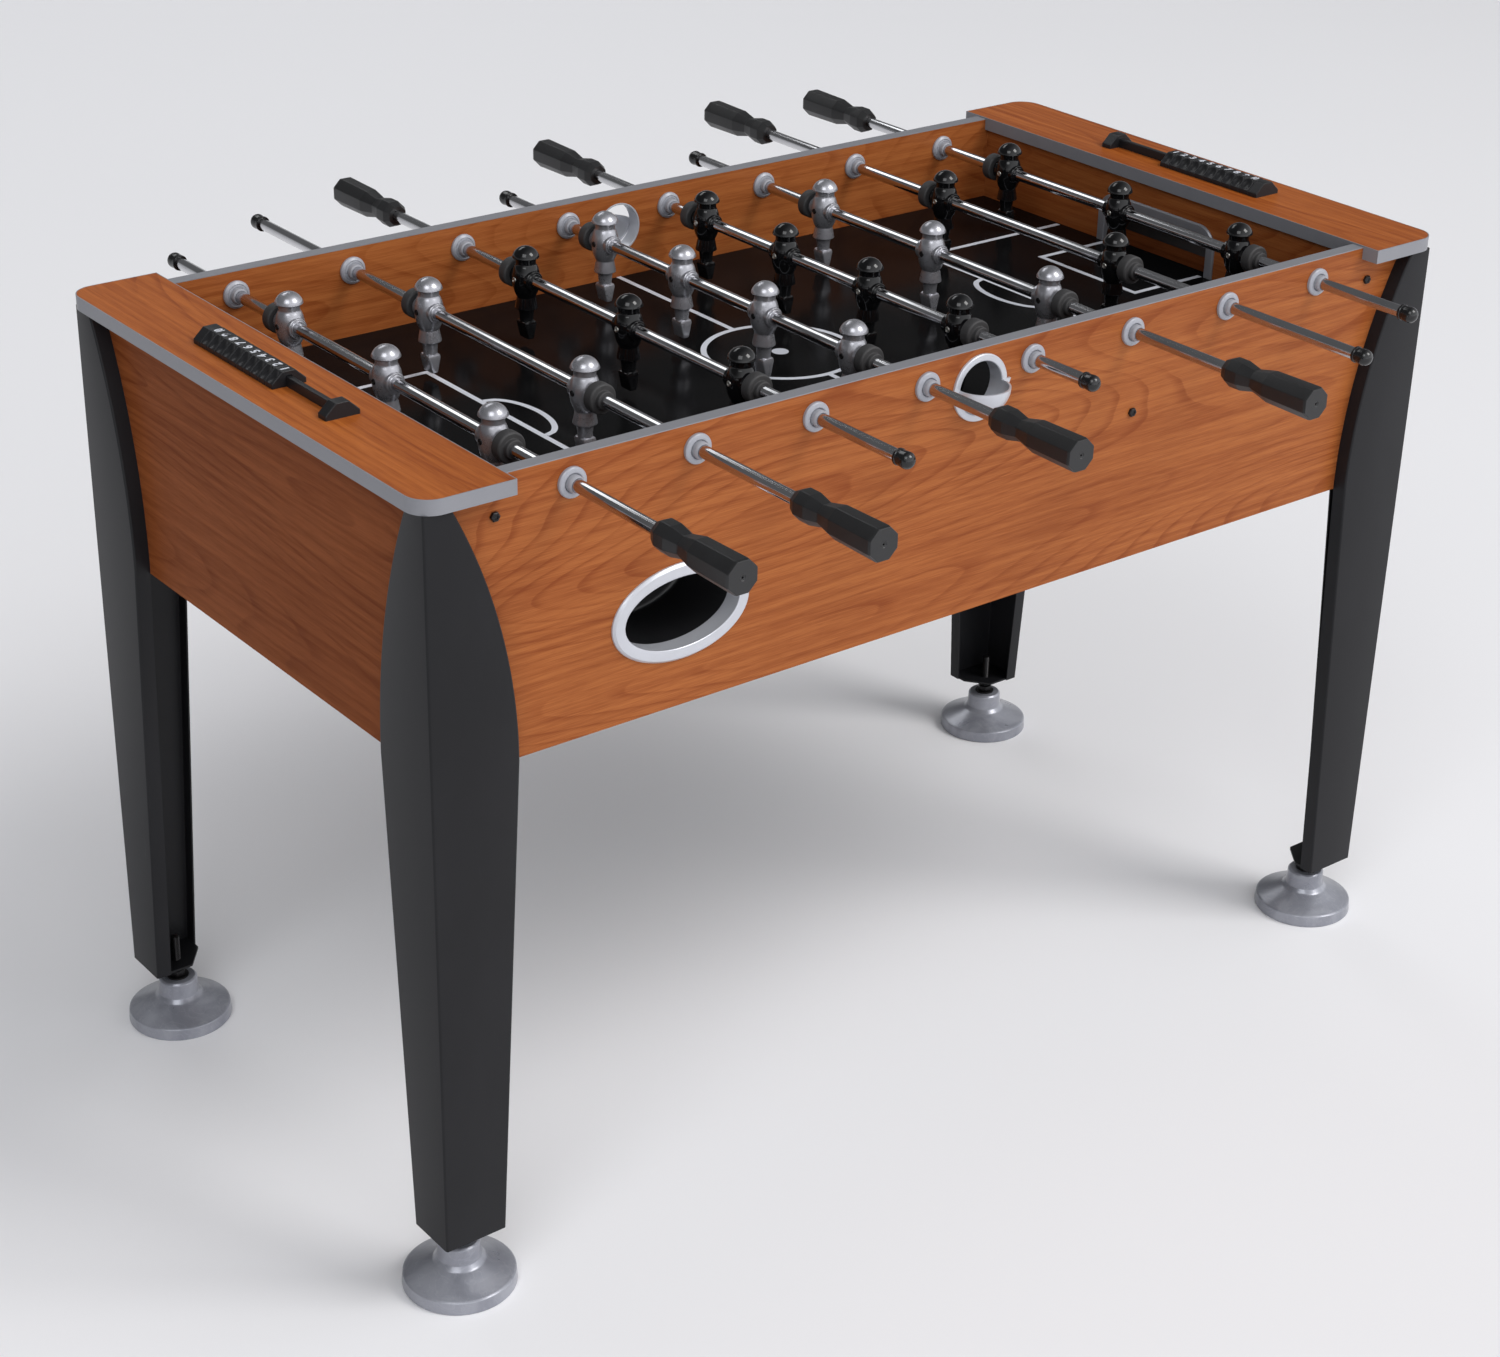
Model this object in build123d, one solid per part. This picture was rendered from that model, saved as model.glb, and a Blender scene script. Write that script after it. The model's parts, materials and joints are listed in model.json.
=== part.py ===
"""Home foosball table: cabinet on four pressed-steel legs, eight rods, scorers, goals and ball returns.

Millimetres. +X runs along the table, +Y across it to the far side, +Z up. The origin is on the
floor, under the middle of the table. The left half (-X) and its near side (-Y) are drawn, and the
other end is the same pieces turned half a turn about Z, as on the real table.
"""
from build123d import *
import math
import os

# ---------------------------------------------------------------- cabinet
table_length = 1315.0  # over the two end boards
cabinet_width = 628.0  # over the two side panels
table_height = 864.0  # floor to the top of the end boards
cabinet_depth = 286.0  # end board top to the bottom edge of the panels
panel_thickness = 15.0
board_thickness = 15.0
board_span = 99.5  # end board, measured along the table
board_overhang_end = 22.5
board_overhang_side = 21.0
board_corner_radius = 25.0
banding_thickness = 1.0
banding_drop = 1.5  # side panels end this far below the end boards' top
goal_wall_setback = 5.0
goal_wall_thickness = 12.0
field_drop = 100.5  # end board top to the playing surface
field_thickness = 6.0
field_groove_depth = 5.0

# ---------------------------------------------------------------- goals
goal_frame_width = 190.0
goal_frame_height = 60.0
goal_frame_bar = 12.0
goal_frame_thickness = 3.0
goal_sleeve_wall = 1.5
goal_corner_radius = 26.0

# ---------------------------------------------------------------- rods, bearings and players
rod_count = 8
rod_diameter = 12.7
rod_drop = 27.0  # end board top to the rod axis
end_rod_to_goal_wall = 75.8
running_clearance = 0.05
bush_diameter = 17.0
bush_stand_out = 10.7  # bush end face beyond each face of the panel
bush_edge = 0.8
housing_barrel_diameter = 22.0
housing_flange_diameter = 30.0
housing_flange_thickness = 4.5
housing_mouth_bevel = 1.2  # across the bore's edge
housing_mouth_depth = 1.5
stop_gap = 0.5  # bumper to bush at the end of the travel

# Men on each rod, the side its handle is on (-1 near, +1 far) and how far it stands off centre.
rod_men = [3, 2, 3, 4, 4, 3, 2, 3]
rod_handle_side = [-1, -1, 1, -1, 1, -1, 1, 1]
rod_offset = [-1.0, 5.3, -12.5, 12.5, 11.0, -2.0, -5.3, -10.0]
half_travel = {2: 111.5, 3: 64.4, 4: 37.4}
handle_stand_off = {2: 33.0, 3: 58.0, 4: 65.0}  # bush to handle when pushed right in
cap_stand_off = {2: 50.0, 3: 33.0, 4: 37.0}

bumper_diameter = 31.0
bumper_length = 13.0
bumper_hub_diameter = 19.0
bumper_hub_length = 5.0
cap_diameter = 17.0
cap_length = 20.0
cap_bore_depth = 15.0
cap_dome_height = 4.0
handle_length = 115.5
handle_bore_depth = 92.0
handle_collar_radius = 15.5
handle_waist_radius = 11.8
handle_grip_radius = 17.2
handle_front_scale = 0.74  # radii at the rod end, the flare's end and the outer end, as shares
handle_flare_scale = 0.95
handle_end_scale = 0.96
handle_collar_from = 0.07  # stations, as shares of the length
handle_collar_to = 0.19
handle_waist_at = 0.30
handle_flare_at = 0.48
handle_bevel_at = 0.985
handle_sides = 8

man_head_top = 35.0  # heights from the rod axis
man_head_lip = 24.0
man_neck_top = 23.0
man_neck_bottom = 16.0
man_body_bottom = -19.5
man_skirt_bottom = -33.5
man_foot_top = -49.0
man_foot_tip = -67.0
man_head_radius = 14.7
man_neck_radius = 10.8
man_body_radius = 15.2
man_skirt_top_radius = 10.4
man_skirt_radius = 12.4
man_shank_radius = 8.7
man_ankle_radius = 6.5
man_foot_top_depth = 15.2
man_foot_tip_depth = 7.5
man_foot_width = 18.0
man_boss_radius = 10.5
man_boss_half_length = 16.5
man_collar_radius = 8.6
man_half_length = 18.0

# ---------------------------------------------------------------- ball return, serve cup
return_centre_x = 364.0
return_centre_drop = 187.0
return_half_length = 70.0  # oval hole in the panel
return_half_height = 40.0
return_ring_lip = 10.0
return_ring_inset = 3.5
return_ring_thickness = 4.0
return_tray_wall = 2.5
return_tray_depth = 89.0
serve_hole_drop = 43.0
serve_plate_radius = 35.0
serve_tunnel_radius = 27.5
serve_wall = 2.0
serve_plate_thickness = 3.0
serve_cup_rim_rise = 3.0
serve_ear_reach = 39.0
serve_ear_root_share = 0.9  # of the plate's radius, at the ear's lower end

# ---------------------------------------------------------------- under the field
field_bar_x = 218.0
field_bar_width = 20.0
field_bar_height = 22.0
ramp_thickness = 4.0
ramp_high_drop = 12.5  # below the field's underside, far end
ramp_slope = math.radians(4.2)
ramp_lip_height = 12.0
ramp_lip_thickness = 2.0
trough_width = 45.0
trough_slope = math.radians(6.0)
trough_gap = 2.0

# ---------------------------------------------------------------- legs and levellers
leg_proud = 17.0  # leg face beyond the panel
leg_floor_gap = 71.0
leg_sheet = 1.8
leg_top_width = 30.0
leg_knee_width_long = 95.0
leg_knee_width_short = 88.5
leg_foot_width_long = 69.0
leg_foot_width_short = 58.5
leg_knee_rise = 7.0  # widest point above the panels' bottom edge
gusset_thickness = 2.5
leveller_inset = 35.5
leveller_radius = 57.8
leveller_lip_height = 14.5
leveller_cone_top = 31.0
leveller_cone_radius = 24.0
leveller_neck_radius = 21.8
leveller_neck_top = 52.0
leveller_foot_bevel = 1.0
leveller_lip_draft = 0.8
leveller_lip_bevel = 1.4
leveller_cone_fillet = 4.0
leveller_neck_step = 0.8
leveller_neck_bevel = 2.0
stud_radius = 5.0
stud_length = 52.0
stud_clearance = 0.4

# ---------------------------------------------------------------- scorers and screws
scorer_length = 251.4
scorer_base_width = 36.5
scorer_top_width = 14.0
scorer_height = 15.0
scorer_skirt = 4.5
scorer_rail_width = 6.0
scorer_rail_height = 10.0
scorer_clearance = 0.4
bead_count = 10
bead_pitch = 14.0
bead_gap = 0.3
bolt_radius = 3.0
bolt_head_radius = 5.0
bolt_head_height = 3.5
bolt_length = 45.0
bolt_goal_drop = 40.0  # bolt into the goal wall, below the end board top

# ---------------------------------------------------------------- places worked out from the above
board_outer_x = table_length / 2
board_inner_x = board_outer_x - board_span
board_half_width = cabinet_width / 2 + board_overhang_side
board_under_z = table_height - board_thickness
panel_outer_y = cabinet_width / 2
panel_inner_y = panel_outer_y - panel_thickness
panel_outer_x = board_outer_x - board_overhang_end
panel_inner_x = panel_outer_x - panel_thickness
panel_bottom_z = table_height - cabinet_depth
banding_top_z = table_height - banding_drop
panel_top_z = banding_top_z - banding_thickness
goal_wall_x = board_inner_x + goal_wall_setback
goal_wall_back_x = goal_wall_x + goal_wall_thickness
field_z = table_height - field_drop
field_under_z = field_z - field_thickness
field_half_width = panel_inner_y + field_groove_depth
rod_z = table_height - rod_drop
rod_radius = rod_diameter / 2
rod_pitch = 2 * (goal_wall_x - end_rod_to_goal_wall) / (rod_count - 1)
bush_bore_radius = rod_radius + running_clearance
bush_radius = bush_diameter / 2
housing_bore_radius = bush_radius + running_clearance
barrel_radius = housing_barrel_diameter / 2
flange_radius = housing_flange_diameter / 2
bush_inner_end = panel_inner_y - bush_stand_out
bush_outer_end = panel_outer_y + bush_stand_out
return_z = table_height - return_centre_drop
serve_z = table_height - serve_hole_drop
serve_sleeve_radius = serve_tunnel_radius + serve_wall
leg_corner_x = panel_outer_x + leg_proud
leg_corner_y = panel_outer_y + leg_proud
leveller_x = leg_corner_x - leveller_inset
leveller_y = leg_corner_y - leveller_inset
scorer_x = board_outer_x - board_span / 2
bolt_goal_x = goal_wall_x + goal_wall_thickness / 2
bolt_goal_z = table_height - bolt_goal_drop
bolt_bar_z = field_under_z - field_bar_height / 2
bolt_places = [(-bolt_goal_x, bolt_goal_z), (bolt_goal_x, bolt_goal_z),
               (-field_bar_x, bolt_bar_z), (field_bar_x, bolt_bar_z)]
rod_x = [(k - (rod_count - 1) / 2) * rod_pitch for k in range(rod_count)]


# ---------------------------------------------------------------- helpers
def block(x, y, z):
    """Box from three (low, high) pairs."""
    size = [high - low for low, high in (x, y, z)]
    centre = [(high + low) / 2 for low, high in (x, y, z)]
    return Pos(*centre) * Box(*size)


def across(radius, y0, y1, x=0.0, z=0.0):
    """Round bar along Y from y0 to y1."""
    return Pos(x, (y0 + y1) / 2, z) * Rot(90, 0, 0) * Cylinder(radius, abs(y1 - y0))


def oval_across(half_x, half_z, y0, y1, x, z):
    """Oval bar along Y from y0 to y1."""
    start = Plane(origin=(x, y0, z), x_dir=(1, 0, 0), z_dir=(0, 1, 0))
    return extrude(start * Ellipse(half_x, half_z), amount=y1 - y0)


def slab_across(outline, y0, y1):
    """Plate between two Y values, from a closed (x, z) outline."""
    face = make_face(Plane.XZ * outline)
    return Pos(0, y0, 0) * extrude(face, amount=y1 - y0, dir=(0, 1, 0))


def slab_along(outline, x0, x1):
    """Plate between two X values, from a closed (y, z) outline."""
    face = make_face(Plane.YZ * outline)
    return Pos(x0, 0, 0) * extrude(face, amount=x1 - x0, dir=(1, 0, 0))


def corners(*points):
    """Closed outline through straight corners."""
    return Polyline(*points, close=True)


def crown_middle(radius, rise):
    """Middle of the arc from the axis at height 0 down to (radius, -rise), level at the axis."""
    ball = (radius ** 2 + rise ** 2) / (2 * rise)
    half_angle = math.asin(radius / ball) / 2
    return ball * math.sin(half_angle), -ball * (1 - math.cos(half_angle))


def turned(points):
    """Solid of revolution about Y from (radius, y) corners."""
    return revolve(make_face(corners(*points)), Axis.Y)


def half_turn(shape):
    """The same piece at the other end of the table."""
    return Rot(0, 0, 180) * shape


def save(name, *solids):
    """Write one node, with its solids kept apart."""
    flat = []
    for item in solids:
        flat.extend(item.solids())
    export_step(Compound(children=flat), f"parts/{name}.step")


# ---------------------------------------------------------------- cabinet woodwork
def make_side_panel():
    """Near side panel: notched under the end boards, bored for bearings, cup and return."""
    panel = block((-panel_outer_x, panel_outer_x), (-panel_outer_y, -panel_inner_y),
                  (panel_bottom_z, panel_top_z))
    for side in (-1, 1):
        ends = sorted((side * board_inner_x, side * (panel_outer_x + 1)))
        panel -= block(ends, (-panel_outer_y - 1, -panel_inner_y + 1), (board_under_z, table_height))
    panel -= block((-goal_wall_back_x, goal_wall_back_x), (-field_half_width, -panel_inner_y + 1),
                   (field_under_z, field_z))
    for x in rod_x:
        panel -= across(barrel_radius, -panel_outer_y - 1, -panel_inner_y + 1, x, rod_z)
    for x, z in bolt_places:
        panel -= across(bolt_radius, -panel_outer_y - 1, -panel_inner_y + 1, x, z)
    panel -= across(serve_sleeve_radius, -panel_outer_y - 1, -panel_inner_y + 1, 0, serve_z)
    panel -= oval_across(return_half_length, return_half_height, -panel_outer_y - 1, -panel_inner_y + 1,
                         -return_centre_x, return_z)
    return panel


def make_end_panel():
    """Left end panel, between the side panels."""
    return block((-panel_outer_x, -panel_inner_x), (-panel_inner_y, panel_inner_y),
                 (panel_bottom_z, board_under_z))


def board_outline(inset):
    """End board outline, rounded at its two outer corners, drawn in by inset."""
    outline = Rectangle(board_span - 2 * inset, 2 * (board_half_width - inset))
    outer_corners = outline.vertices().sort_by(Axis.X)[:2]
    return fillet(outer_corners, board_corner_radius - inset)


def make_end_board():
    """Left end board, without its edge banding."""
    outline = Pos(-scorer_x, 0, board_under_z) * board_outline(banding_thickness)
    return extrude(outline, amount=board_thickness)


def make_banding():
    """Banding: a closed band round the left end board, and the near panel's top strip."""
    ring = board_outline(0) - board_outline(banding_thickness)
    band = extrude(Pos(-scorer_x, 0, board_under_z) * ring, amount=board_thickness)
    strip = block((-board_inner_x, board_inner_x), (-panel_outer_y, -panel_inner_y),
                  (panel_top_z, banding_top_z))
    return [band, strip]


def goal_outline(outset):
    """Goal mouth seen along X: open at the field, rounded at its two top corners."""
    half = goal_frame_width / 2 - goal_frame_bar + outset
    height = goal_frame_height - goal_frame_bar + outset
    radius = goal_corner_radius - goal_frame_bar + outset
    face = Plane.YZ * Pos(0, field_z + height / 2) * Rectangle(2 * half, height)
    top_corners = face.vertices().sort_by(Axis.Z)[-2:]
    return fillet(top_corners, radius)


def make_goal_wall():
    """Left goal wall, standing on the field under the end board."""
    wall = block((-goal_wall_back_x, -goal_wall_x), (-panel_inner_y, panel_inner_y),
                 (field_z, board_under_z))
    mouth = extrude(goal_outline(goal_sleeve_wall), amount=goal_wall_thickness + 2)
    wall -= Pos(-goal_wall_back_x - 1, 0, 0) * mouth
    for side in (-1, 1):
        ends = sorted((side * (panel_outer_y - bolt_length), side * (panel_inner_y + 1)))
        wall -= across(bolt_radius, ends[0], ends[1], -bolt_goal_x, bolt_goal_z)
    return wall


def make_goal_frame():
    """Left goal frame: a flat arch on the wall and a sleeve through it."""
    arch = extrude(goal_outline(goal_frame_bar) - goal_outline(0), amount=goal_frame_thickness)
    sleeve = extrude(goal_outline(goal_sleeve_wall) - goal_outline(0), amount=goal_wall_thickness)
    return Pos(-goal_wall_x, 0, 0) * arch + Pos(-goal_wall_back_x, 0, 0) * sleeve


def make_field():
    """Playing surface, let into the side panels' grooves."""
    return block((-goal_wall_back_x, goal_wall_back_x), (-field_half_width, field_half_width),
                 (field_under_z, field_z))


def make_field_bar():
    """Left cross bar under the field, bolted through both side panels."""
    bar = block((-field_bar_x - field_bar_width / 2, -field_bar_x + field_bar_width / 2),
                (-panel_inner_y, panel_inner_y), (field_under_z - field_bar_height, field_under_z))
    for side in (-1, 1):
        ends = sorted((side * (panel_outer_y - bolt_length), side * (panel_inner_y + 1)))
        bar -= across(bolt_radius, ends[0], ends[1], -field_bar_x, bolt_bar_z)
    return bar


def sloped_strip(y0, y1, z0, height, x0, x1):
    """Strip falling towards -Y: z0 is its underside at y1, the high end."""
    fall = (y1 - y0) * math.tan(ramp_slope)
    outline = corners((y1, z0), (y1, z0 + height), (y0, z0 + height - fall), (y0, z0 - fall))
    return slab_along(outline, x0, x1)


def make_ramp():
    """Left ramp: floor of the drop behind the goal, with a lip that stops at the trough."""
    high_z = field_under_z - ramp_high_drop - ramp_thickness
    floor = sloped_strip(-panel_inner_y, panel_inner_y, high_z, ramp_thickness,
                         -panel_inner_x, -goal_wall_back_x)
    lip = sloped_strip(trough_width - panel_inner_y, panel_inner_y, high_z,
                       ramp_thickness + ramp_lip_height,
                       -goal_wall_back_x - ramp_lip_thickness, -goal_wall_back_x)
    return floor + lip


def make_trough():
    """Left trough: carries the ball along the near panel from the ramp to the return tray."""
    ramp_low = field_under_z - ramp_high_drop - 2 * panel_inner_y * math.tan(ramp_slope)
    start_x = -goal_wall_back_x
    end_x = -return_centre_x - return_half_length - trough_gap
    fall = (end_x - start_x) * math.tan(trough_slope)
    y0 = -panel_inner_y

    top = ramp_low - ramp_thickness
    under = top - ramp_thickness

    def run(height, from_y, to_y):
        """Sloping strip whose top is this far above the trough's floor."""
        outline = corners((start_x, top + height), (end_x, top + height - fall), (end_x, under - fall),
                          (start_x, under))
        return slab_across(outline, from_y, to_y)

    return run(0, y0, y0 + trough_width) + run(ramp_lip_height, y0 + trough_width - ramp_lip_thickness,
                                               y0 + trough_width)


# ---------------------------------------------------------------- fittings in the panels
def make_return():
    """Near ball return: oval ring on the panel, and the tray behind it."""
    x = -return_centre_x
    face_y = -panel_outer_y
    ring = oval_across(return_half_length + return_ring_lip, return_half_height + return_ring_lip,
                       face_y - return_ring_thickness, face_y, x, return_z)
    ring = fillet(ring.faces().sort_by(Axis.Y)[0].edges(), return_ring_thickness / 3)
    ring -= oval_across(return_half_length - return_ring_inset, return_half_height - return_ring_inset,
                        face_y - return_ring_thickness - 1, face_y + 1, x, return_z)
    tray = oval_across(return_half_length, return_half_height,
                       face_y, face_y + return_tray_depth, x, return_z)
    tray -= oval_across(return_half_length - return_tray_wall, return_half_height - return_tray_wall,
                        face_y - 1, face_y + return_tray_depth - return_tray_wall, x, return_z)
    inlet_y = (-panel_inner_y + ramp_lip_thickness, -panel_inner_y + trough_width - ramp_lip_thickness)
    tray -= block((x - return_half_length - 1, x - return_half_length / 2), inlet_y,
                  (return_z, return_z + return_half_height))
    return [ring, tray]


def make_serve_cup():
    """Near serve cup: round plate, half bowl in front of it and a sleeve through the panel."""
    face_y = -panel_outer_y
    front_y = face_y - serve_plate_thickness
    rim_z = serve_z + serve_cup_rim_rise
    plate = across(serve_plate_radius, front_y, face_y, 0, serve_z)
    ear_base = serve_z - serve_tunnel_radius / 2
    for side in (-1, 1):
        ear = corners((side * serve_tunnel_radius, rim_z), (side * serve_ear_reach, rim_z),
                      (side * serve_plate_radius * serve_ear_root_share, ear_base),
                      (side * serve_tunnel_radius, ear_base))
        plate += slab_across(ear, front_y, face_y)
    sleeve = across(serve_sleeve_radius, face_y, -panel_inner_y, 0, serve_z)
    bowl = Pos(0, front_y, rim_z) * Sphere(serve_sleeve_radius)
    reach = serve_sleeve_radius + 1
    bowl &= block((-reach, reach), (front_y - reach, front_y), (rim_z - reach, rim_z))
    cup = plate + sleeve + bowl
    cup -= across(serve_tunnel_radius, face_y - serve_plate_thickness, -panel_inner_y + 1, 0, serve_z)
    hollow = Pos(0, front_y, rim_z) * Sphere(serve_tunnel_radius)
    cup -= hollow & block((-reach, reach), (front_y - reach, front_y), (rim_z - reach, rim_z))
    return cup


def make_housings(x):
    """Near bearing at one rod: flanged barrel through the panel, and the ring inside it."""
    outer_y = panel_outer_y + housing_flange_thickness
    inner_y = panel_inner_y - housing_flange_thickness
    dome = housing_flange_thickness / 2
    mouth = housing_bore_radius + housing_mouth_bevel
    flanged = turned([(housing_bore_radius, inner_y), (barrel_radius, inner_y),
                      (barrel_radius, panel_outer_y), (flange_radius, panel_outer_y),
                      (flange_radius, outer_y - dome), (barrel_radius, outer_y), (mouth, outer_y),
                      (housing_bore_radius, outer_y - housing_mouth_depth)])
    ring = turned([(barrel_radius, inner_y), (barrel_radius, panel_inner_y), (flange_radius, panel_inner_y),
                   (flange_radius, inner_y + dome), (barrel_radius + 1, inner_y)])
    place = Pos(x, 0, rod_z) * Rot(0, 0, 180)
    return [place * flanged, place * ring]


def make_bolts(x, z):
    """Near bolt through the side panel."""
    turns = [i * math.pi / 3 for i in range(6)]
    hexagon = [(x + bolt_head_radius * math.cos(turn), z + bolt_head_radius * math.sin(turn))
               for turn in turns]
    head = slab_across(corners(*hexagon), -panel_outer_y - bolt_head_height, -panel_outer_y)
    return head + across(bolt_radius, -panel_outer_y, -panel_outer_y + bolt_length, x, z)


# ---------------------------------------------------------------- rods
def men_places(men):
    """Y of each man on a rod, so that the bumpers meet the bushes at the end of the travel."""
    end_of_travel = bush_inner_end - stop_gap - half_travel[men]
    outer = end_of_travel - bumper_hub_length - bumper_length - man_half_length
    return [outer * (2 * i / (men - 1) - 1) for i in range(men)]


def make_man():
    """One player, standing on the rod axis at the origin."""
    mid_r, mid_drop = crown_middle(man_head_radius, man_head_top - man_head_lip)
    crown = ThreePointArc((0, man_head_top), (mid_r, man_head_top + mid_drop),
                          (man_head_radius, man_head_lip))
    neck = Polyline((man_head_radius, man_head_lip), (man_neck_radius, man_neck_top),
                    (man_neck_radius, man_neck_bottom))
    barrel = ThreePointArc((man_neck_radius, man_neck_bottom), (man_body_radius, 0),
                           (man_skirt_top_radius, man_body_bottom))
    lower = Polyline((man_skirt_top_radius, man_body_bottom), (man_skirt_radius, man_skirt_bottom),
                     (man_shank_radius, man_skirt_bottom), (man_ankle_radius, man_foot_top),
                     (0, man_foot_top), (0, man_head_top))
    figure = revolve(make_face(Plane.XZ * (crown + neck + barrel + lower)), Axis.Z)
    figure += across(man_boss_radius, -man_boss_half_length, man_boss_half_length)
    figure += across(man_collar_radius, -man_half_length, man_half_length)
    foot_top = Pos(0, 0, man_foot_top) * Rectangle(man_foot_top_depth, man_foot_width)
    foot_tip = Pos(0, 0, man_foot_tip) * Rectangle(man_foot_tip_depth, man_foot_width)
    figure += loft([foot_top.face(), foot_tip.face()])
    return figure - across(rod_radius, -man_half_length - 1, man_half_length + 1)


def make_bumper():
    """Rubber bumper: disc towards the man at Y 0, hub towards the bush."""
    end_y = bumper_length + bumper_hub_length
    edge = bumper_length / 8
    return turned([(rod_radius, 0), (bumper_diameter / 2 - edge, 0), (bumper_diameter / 2, edge),
                   (bumper_diameter / 2, bumper_length - edge), (bumper_diameter / 2 - edge, bumper_length),
                   (bumper_hub_diameter / 2, bumper_length), (bumper_hub_diameter / 2, end_y),
                   (rod_radius, end_y)])


def make_cap():
    """Rubber end cap: mouth at Y 0, domed end towards +Y."""
    radius = cap_diameter / 2
    shoulder = cap_length - cap_dome_height
    mid_r, mid_drop = crown_middle(radius, cap_dome_height)
    side = Polyline((rod_radius, cap_bore_depth), (rod_radius, 0), (radius, 0), (radius, shoulder))
    dome = ThreePointArc((radius, shoulder), (mid_r, cap_length + mid_drop), (0, cap_length))
    core = Polyline((0, cap_length), (0, cap_bore_depth), (rod_radius, cap_bore_depth))
    return revolve(make_face(side + dome + core), Axis.Y)


def make_handle():
    """Octagonal grip: collar, waist and flared body from Y 0 outwards, with a blind bore."""
    stations = [(0, handle_collar_radius * handle_front_scale), (handle_collar_from, handle_collar_radius),
                (handle_collar_to, handle_collar_radius), (handle_waist_at, handle_waist_radius),
                (handle_flare_at, handle_grip_radius * handle_flare_scale),
                (handle_bevel_at, handle_grip_radius), (1, handle_grip_radius * handle_end_scale)]
    sections = []
    for share, radius in stations:
        plane = Plane(origin=(0, share * handle_length, 0), x_dir=(1, 0, 0), z_dir=(0, 1, 0))
        polygon = RegularPolygon(radius, handle_sides, rotation=180 / handle_sides)
        sections.append((plane * polygon).face())
    return loft(sections, ruled=True) - across(rod_radius, -1, handle_bore_depth)


def make_rod_set(men):
    """Rod, men, handle and rubbers of one rod, along Y through the origin, handle towards +Y."""
    places = men_places(men)
    bumper_y = places[-1] + man_half_length
    handle_y = bush_outer_end + handle_stand_off[men] + half_travel[men]
    cap_y = bush_outer_end + cap_stand_off[men] + half_travel[men]
    rod = across(rod_radius, -cap_y - cap_bore_depth, handle_y + handle_bore_depth)
    players = [Pos(0, y, 0) * make_man() for y in places]
    handle = Pos(0, handle_y, 0) * make_handle()
    rubbers = [Pos(0, bumper_y, 0) * make_bumper(), Pos(0, -bumper_y, 0) * Rot(0, 0, 180) * make_bumper(),
               Pos(0, -cap_y, 0) * Rot(0, 0, 180) * make_cap()]
    return rod, players, handle, rubbers


def make_bushes():
    """The two plastic bushes a rod slides in, near and far."""
    bush = turned([(bush_bore_radius, bush_inner_end), (bush_radius - bush_edge, bush_inner_end),
                   (bush_radius, bush_inner_end + bush_edge), (bush_radius, bush_outer_end - bush_edge),
                   (bush_radius - bush_edge, bush_outer_end), (bush_bore_radius, bush_outer_end)])
    return [bush, half_turn(bush)]


# ---------------------------------------------------------------- legs and levellers
def leg_face(knee_width, foot_width, shrink, top_z, bottom_z):
    """Leg face outline in (distance from the corner, height): arched to the knee, then tapered."""
    knee_z = panel_bottom_z + leg_knee_rise
    rise = top_z - knee_z
    bulge = knee_width - leg_top_width
    radius = (bulge ** 2 + rise ** 2) / (2 * bulge)
    half_angle = math.asin(rise / radius) / 2
    knee = knee_width - shrink
    middle = (knee - radius * (1 - math.cos(half_angle)), knee_z + radius * math.sin(half_angle))
    arch = ThreePointArc((leg_top_width - shrink, top_z), middle, (knee, knee_z))
    sides = Polyline((knee, knee_z), (foot_width - shrink, bottom_z), (shrink, bottom_z), (shrink, top_z),
                     (leg_top_width - shrink, top_z))
    return arch + sides


def make_leg():
    """Pressed leg in its own frame: corner on the Z axis, long face along +X, short face along +Y."""
    top = board_under_z
    bottom = leg_floor_gap
    sheet = leg_sheet

    def shell(shrink, z_top, z_bottom, depth_from, depth_to):
        """Both faces of the leg as solid slabs, drawn in by shrink."""
        long_face = leg_face(leg_knee_width_long, leg_foot_width_long, shrink, z_top, z_bottom)
        short_face = leg_face(leg_knee_width_short, leg_foot_width_short, shrink, z_top, z_bottom)
        return slab_across(long_face, depth_from, depth_to) + slab_along(short_face, depth_from, depth_to)

    leg = shell(0, top, bottom, 0, leg_proud) - shell(sheet, top - sheet, bottom - 1, sheet, leg_proud + 1)
    reach_x = leg_foot_width_long - sheet
    reach_y = leg_foot_width_short - sheet
    stud_edge = leveller_inset + stud_radius
    outline = corners((sheet, sheet), (reach_x, sheet), (reach_x, leveller_inset), (stud_edge, reach_y),
                      (sheet, reach_y))
    gusset = Pos(0, 0, bottom) * extrude(make_face(outline), amount=gusset_thickness, dir=(0, 0, 1))
    drill = Cylinder(stud_radius + stud_clearance, 4 * gusset_thickness)
    hole = Pos(leveller_inset, leveller_inset, bottom) * drill
    return leg + (gusset - hole)


def make_leveller():
    """Plastic foot with its threaded stud, standing on the floor at the origin."""
    stud_top = leveller_neck_top + stud_length
    lip_radius = leveller_radius - leveller_lip_draft
    profile = [(0, 0), (leveller_radius - leveller_foot_bevel, 0), (leveller_radius, leveller_foot_bevel),
               (lip_radius, leveller_lip_height),
               (lip_radius - leveller_lip_bevel, leveller_lip_height + leveller_lip_draft),
               (leveller_cone_radius + leveller_cone_fillet, leveller_cone_top - leveller_cone_fillet),
               (leveller_cone_radius, leveller_cone_top),
               (leveller_neck_radius + leveller_neck_step, leveller_cone_top + leveller_neck_bevel),
               (leveller_neck_radius, leveller_neck_top - leveller_neck_bevel),
               (leveller_neck_radius - leveller_neck_bevel, leveller_neck_top),
               (stud_radius, leveller_neck_top), (stud_radius, stud_top), (0, stud_top)]
    return revolve(make_face(Plane.XZ * Polyline(*profile, close=True)), Axis.Z)


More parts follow.
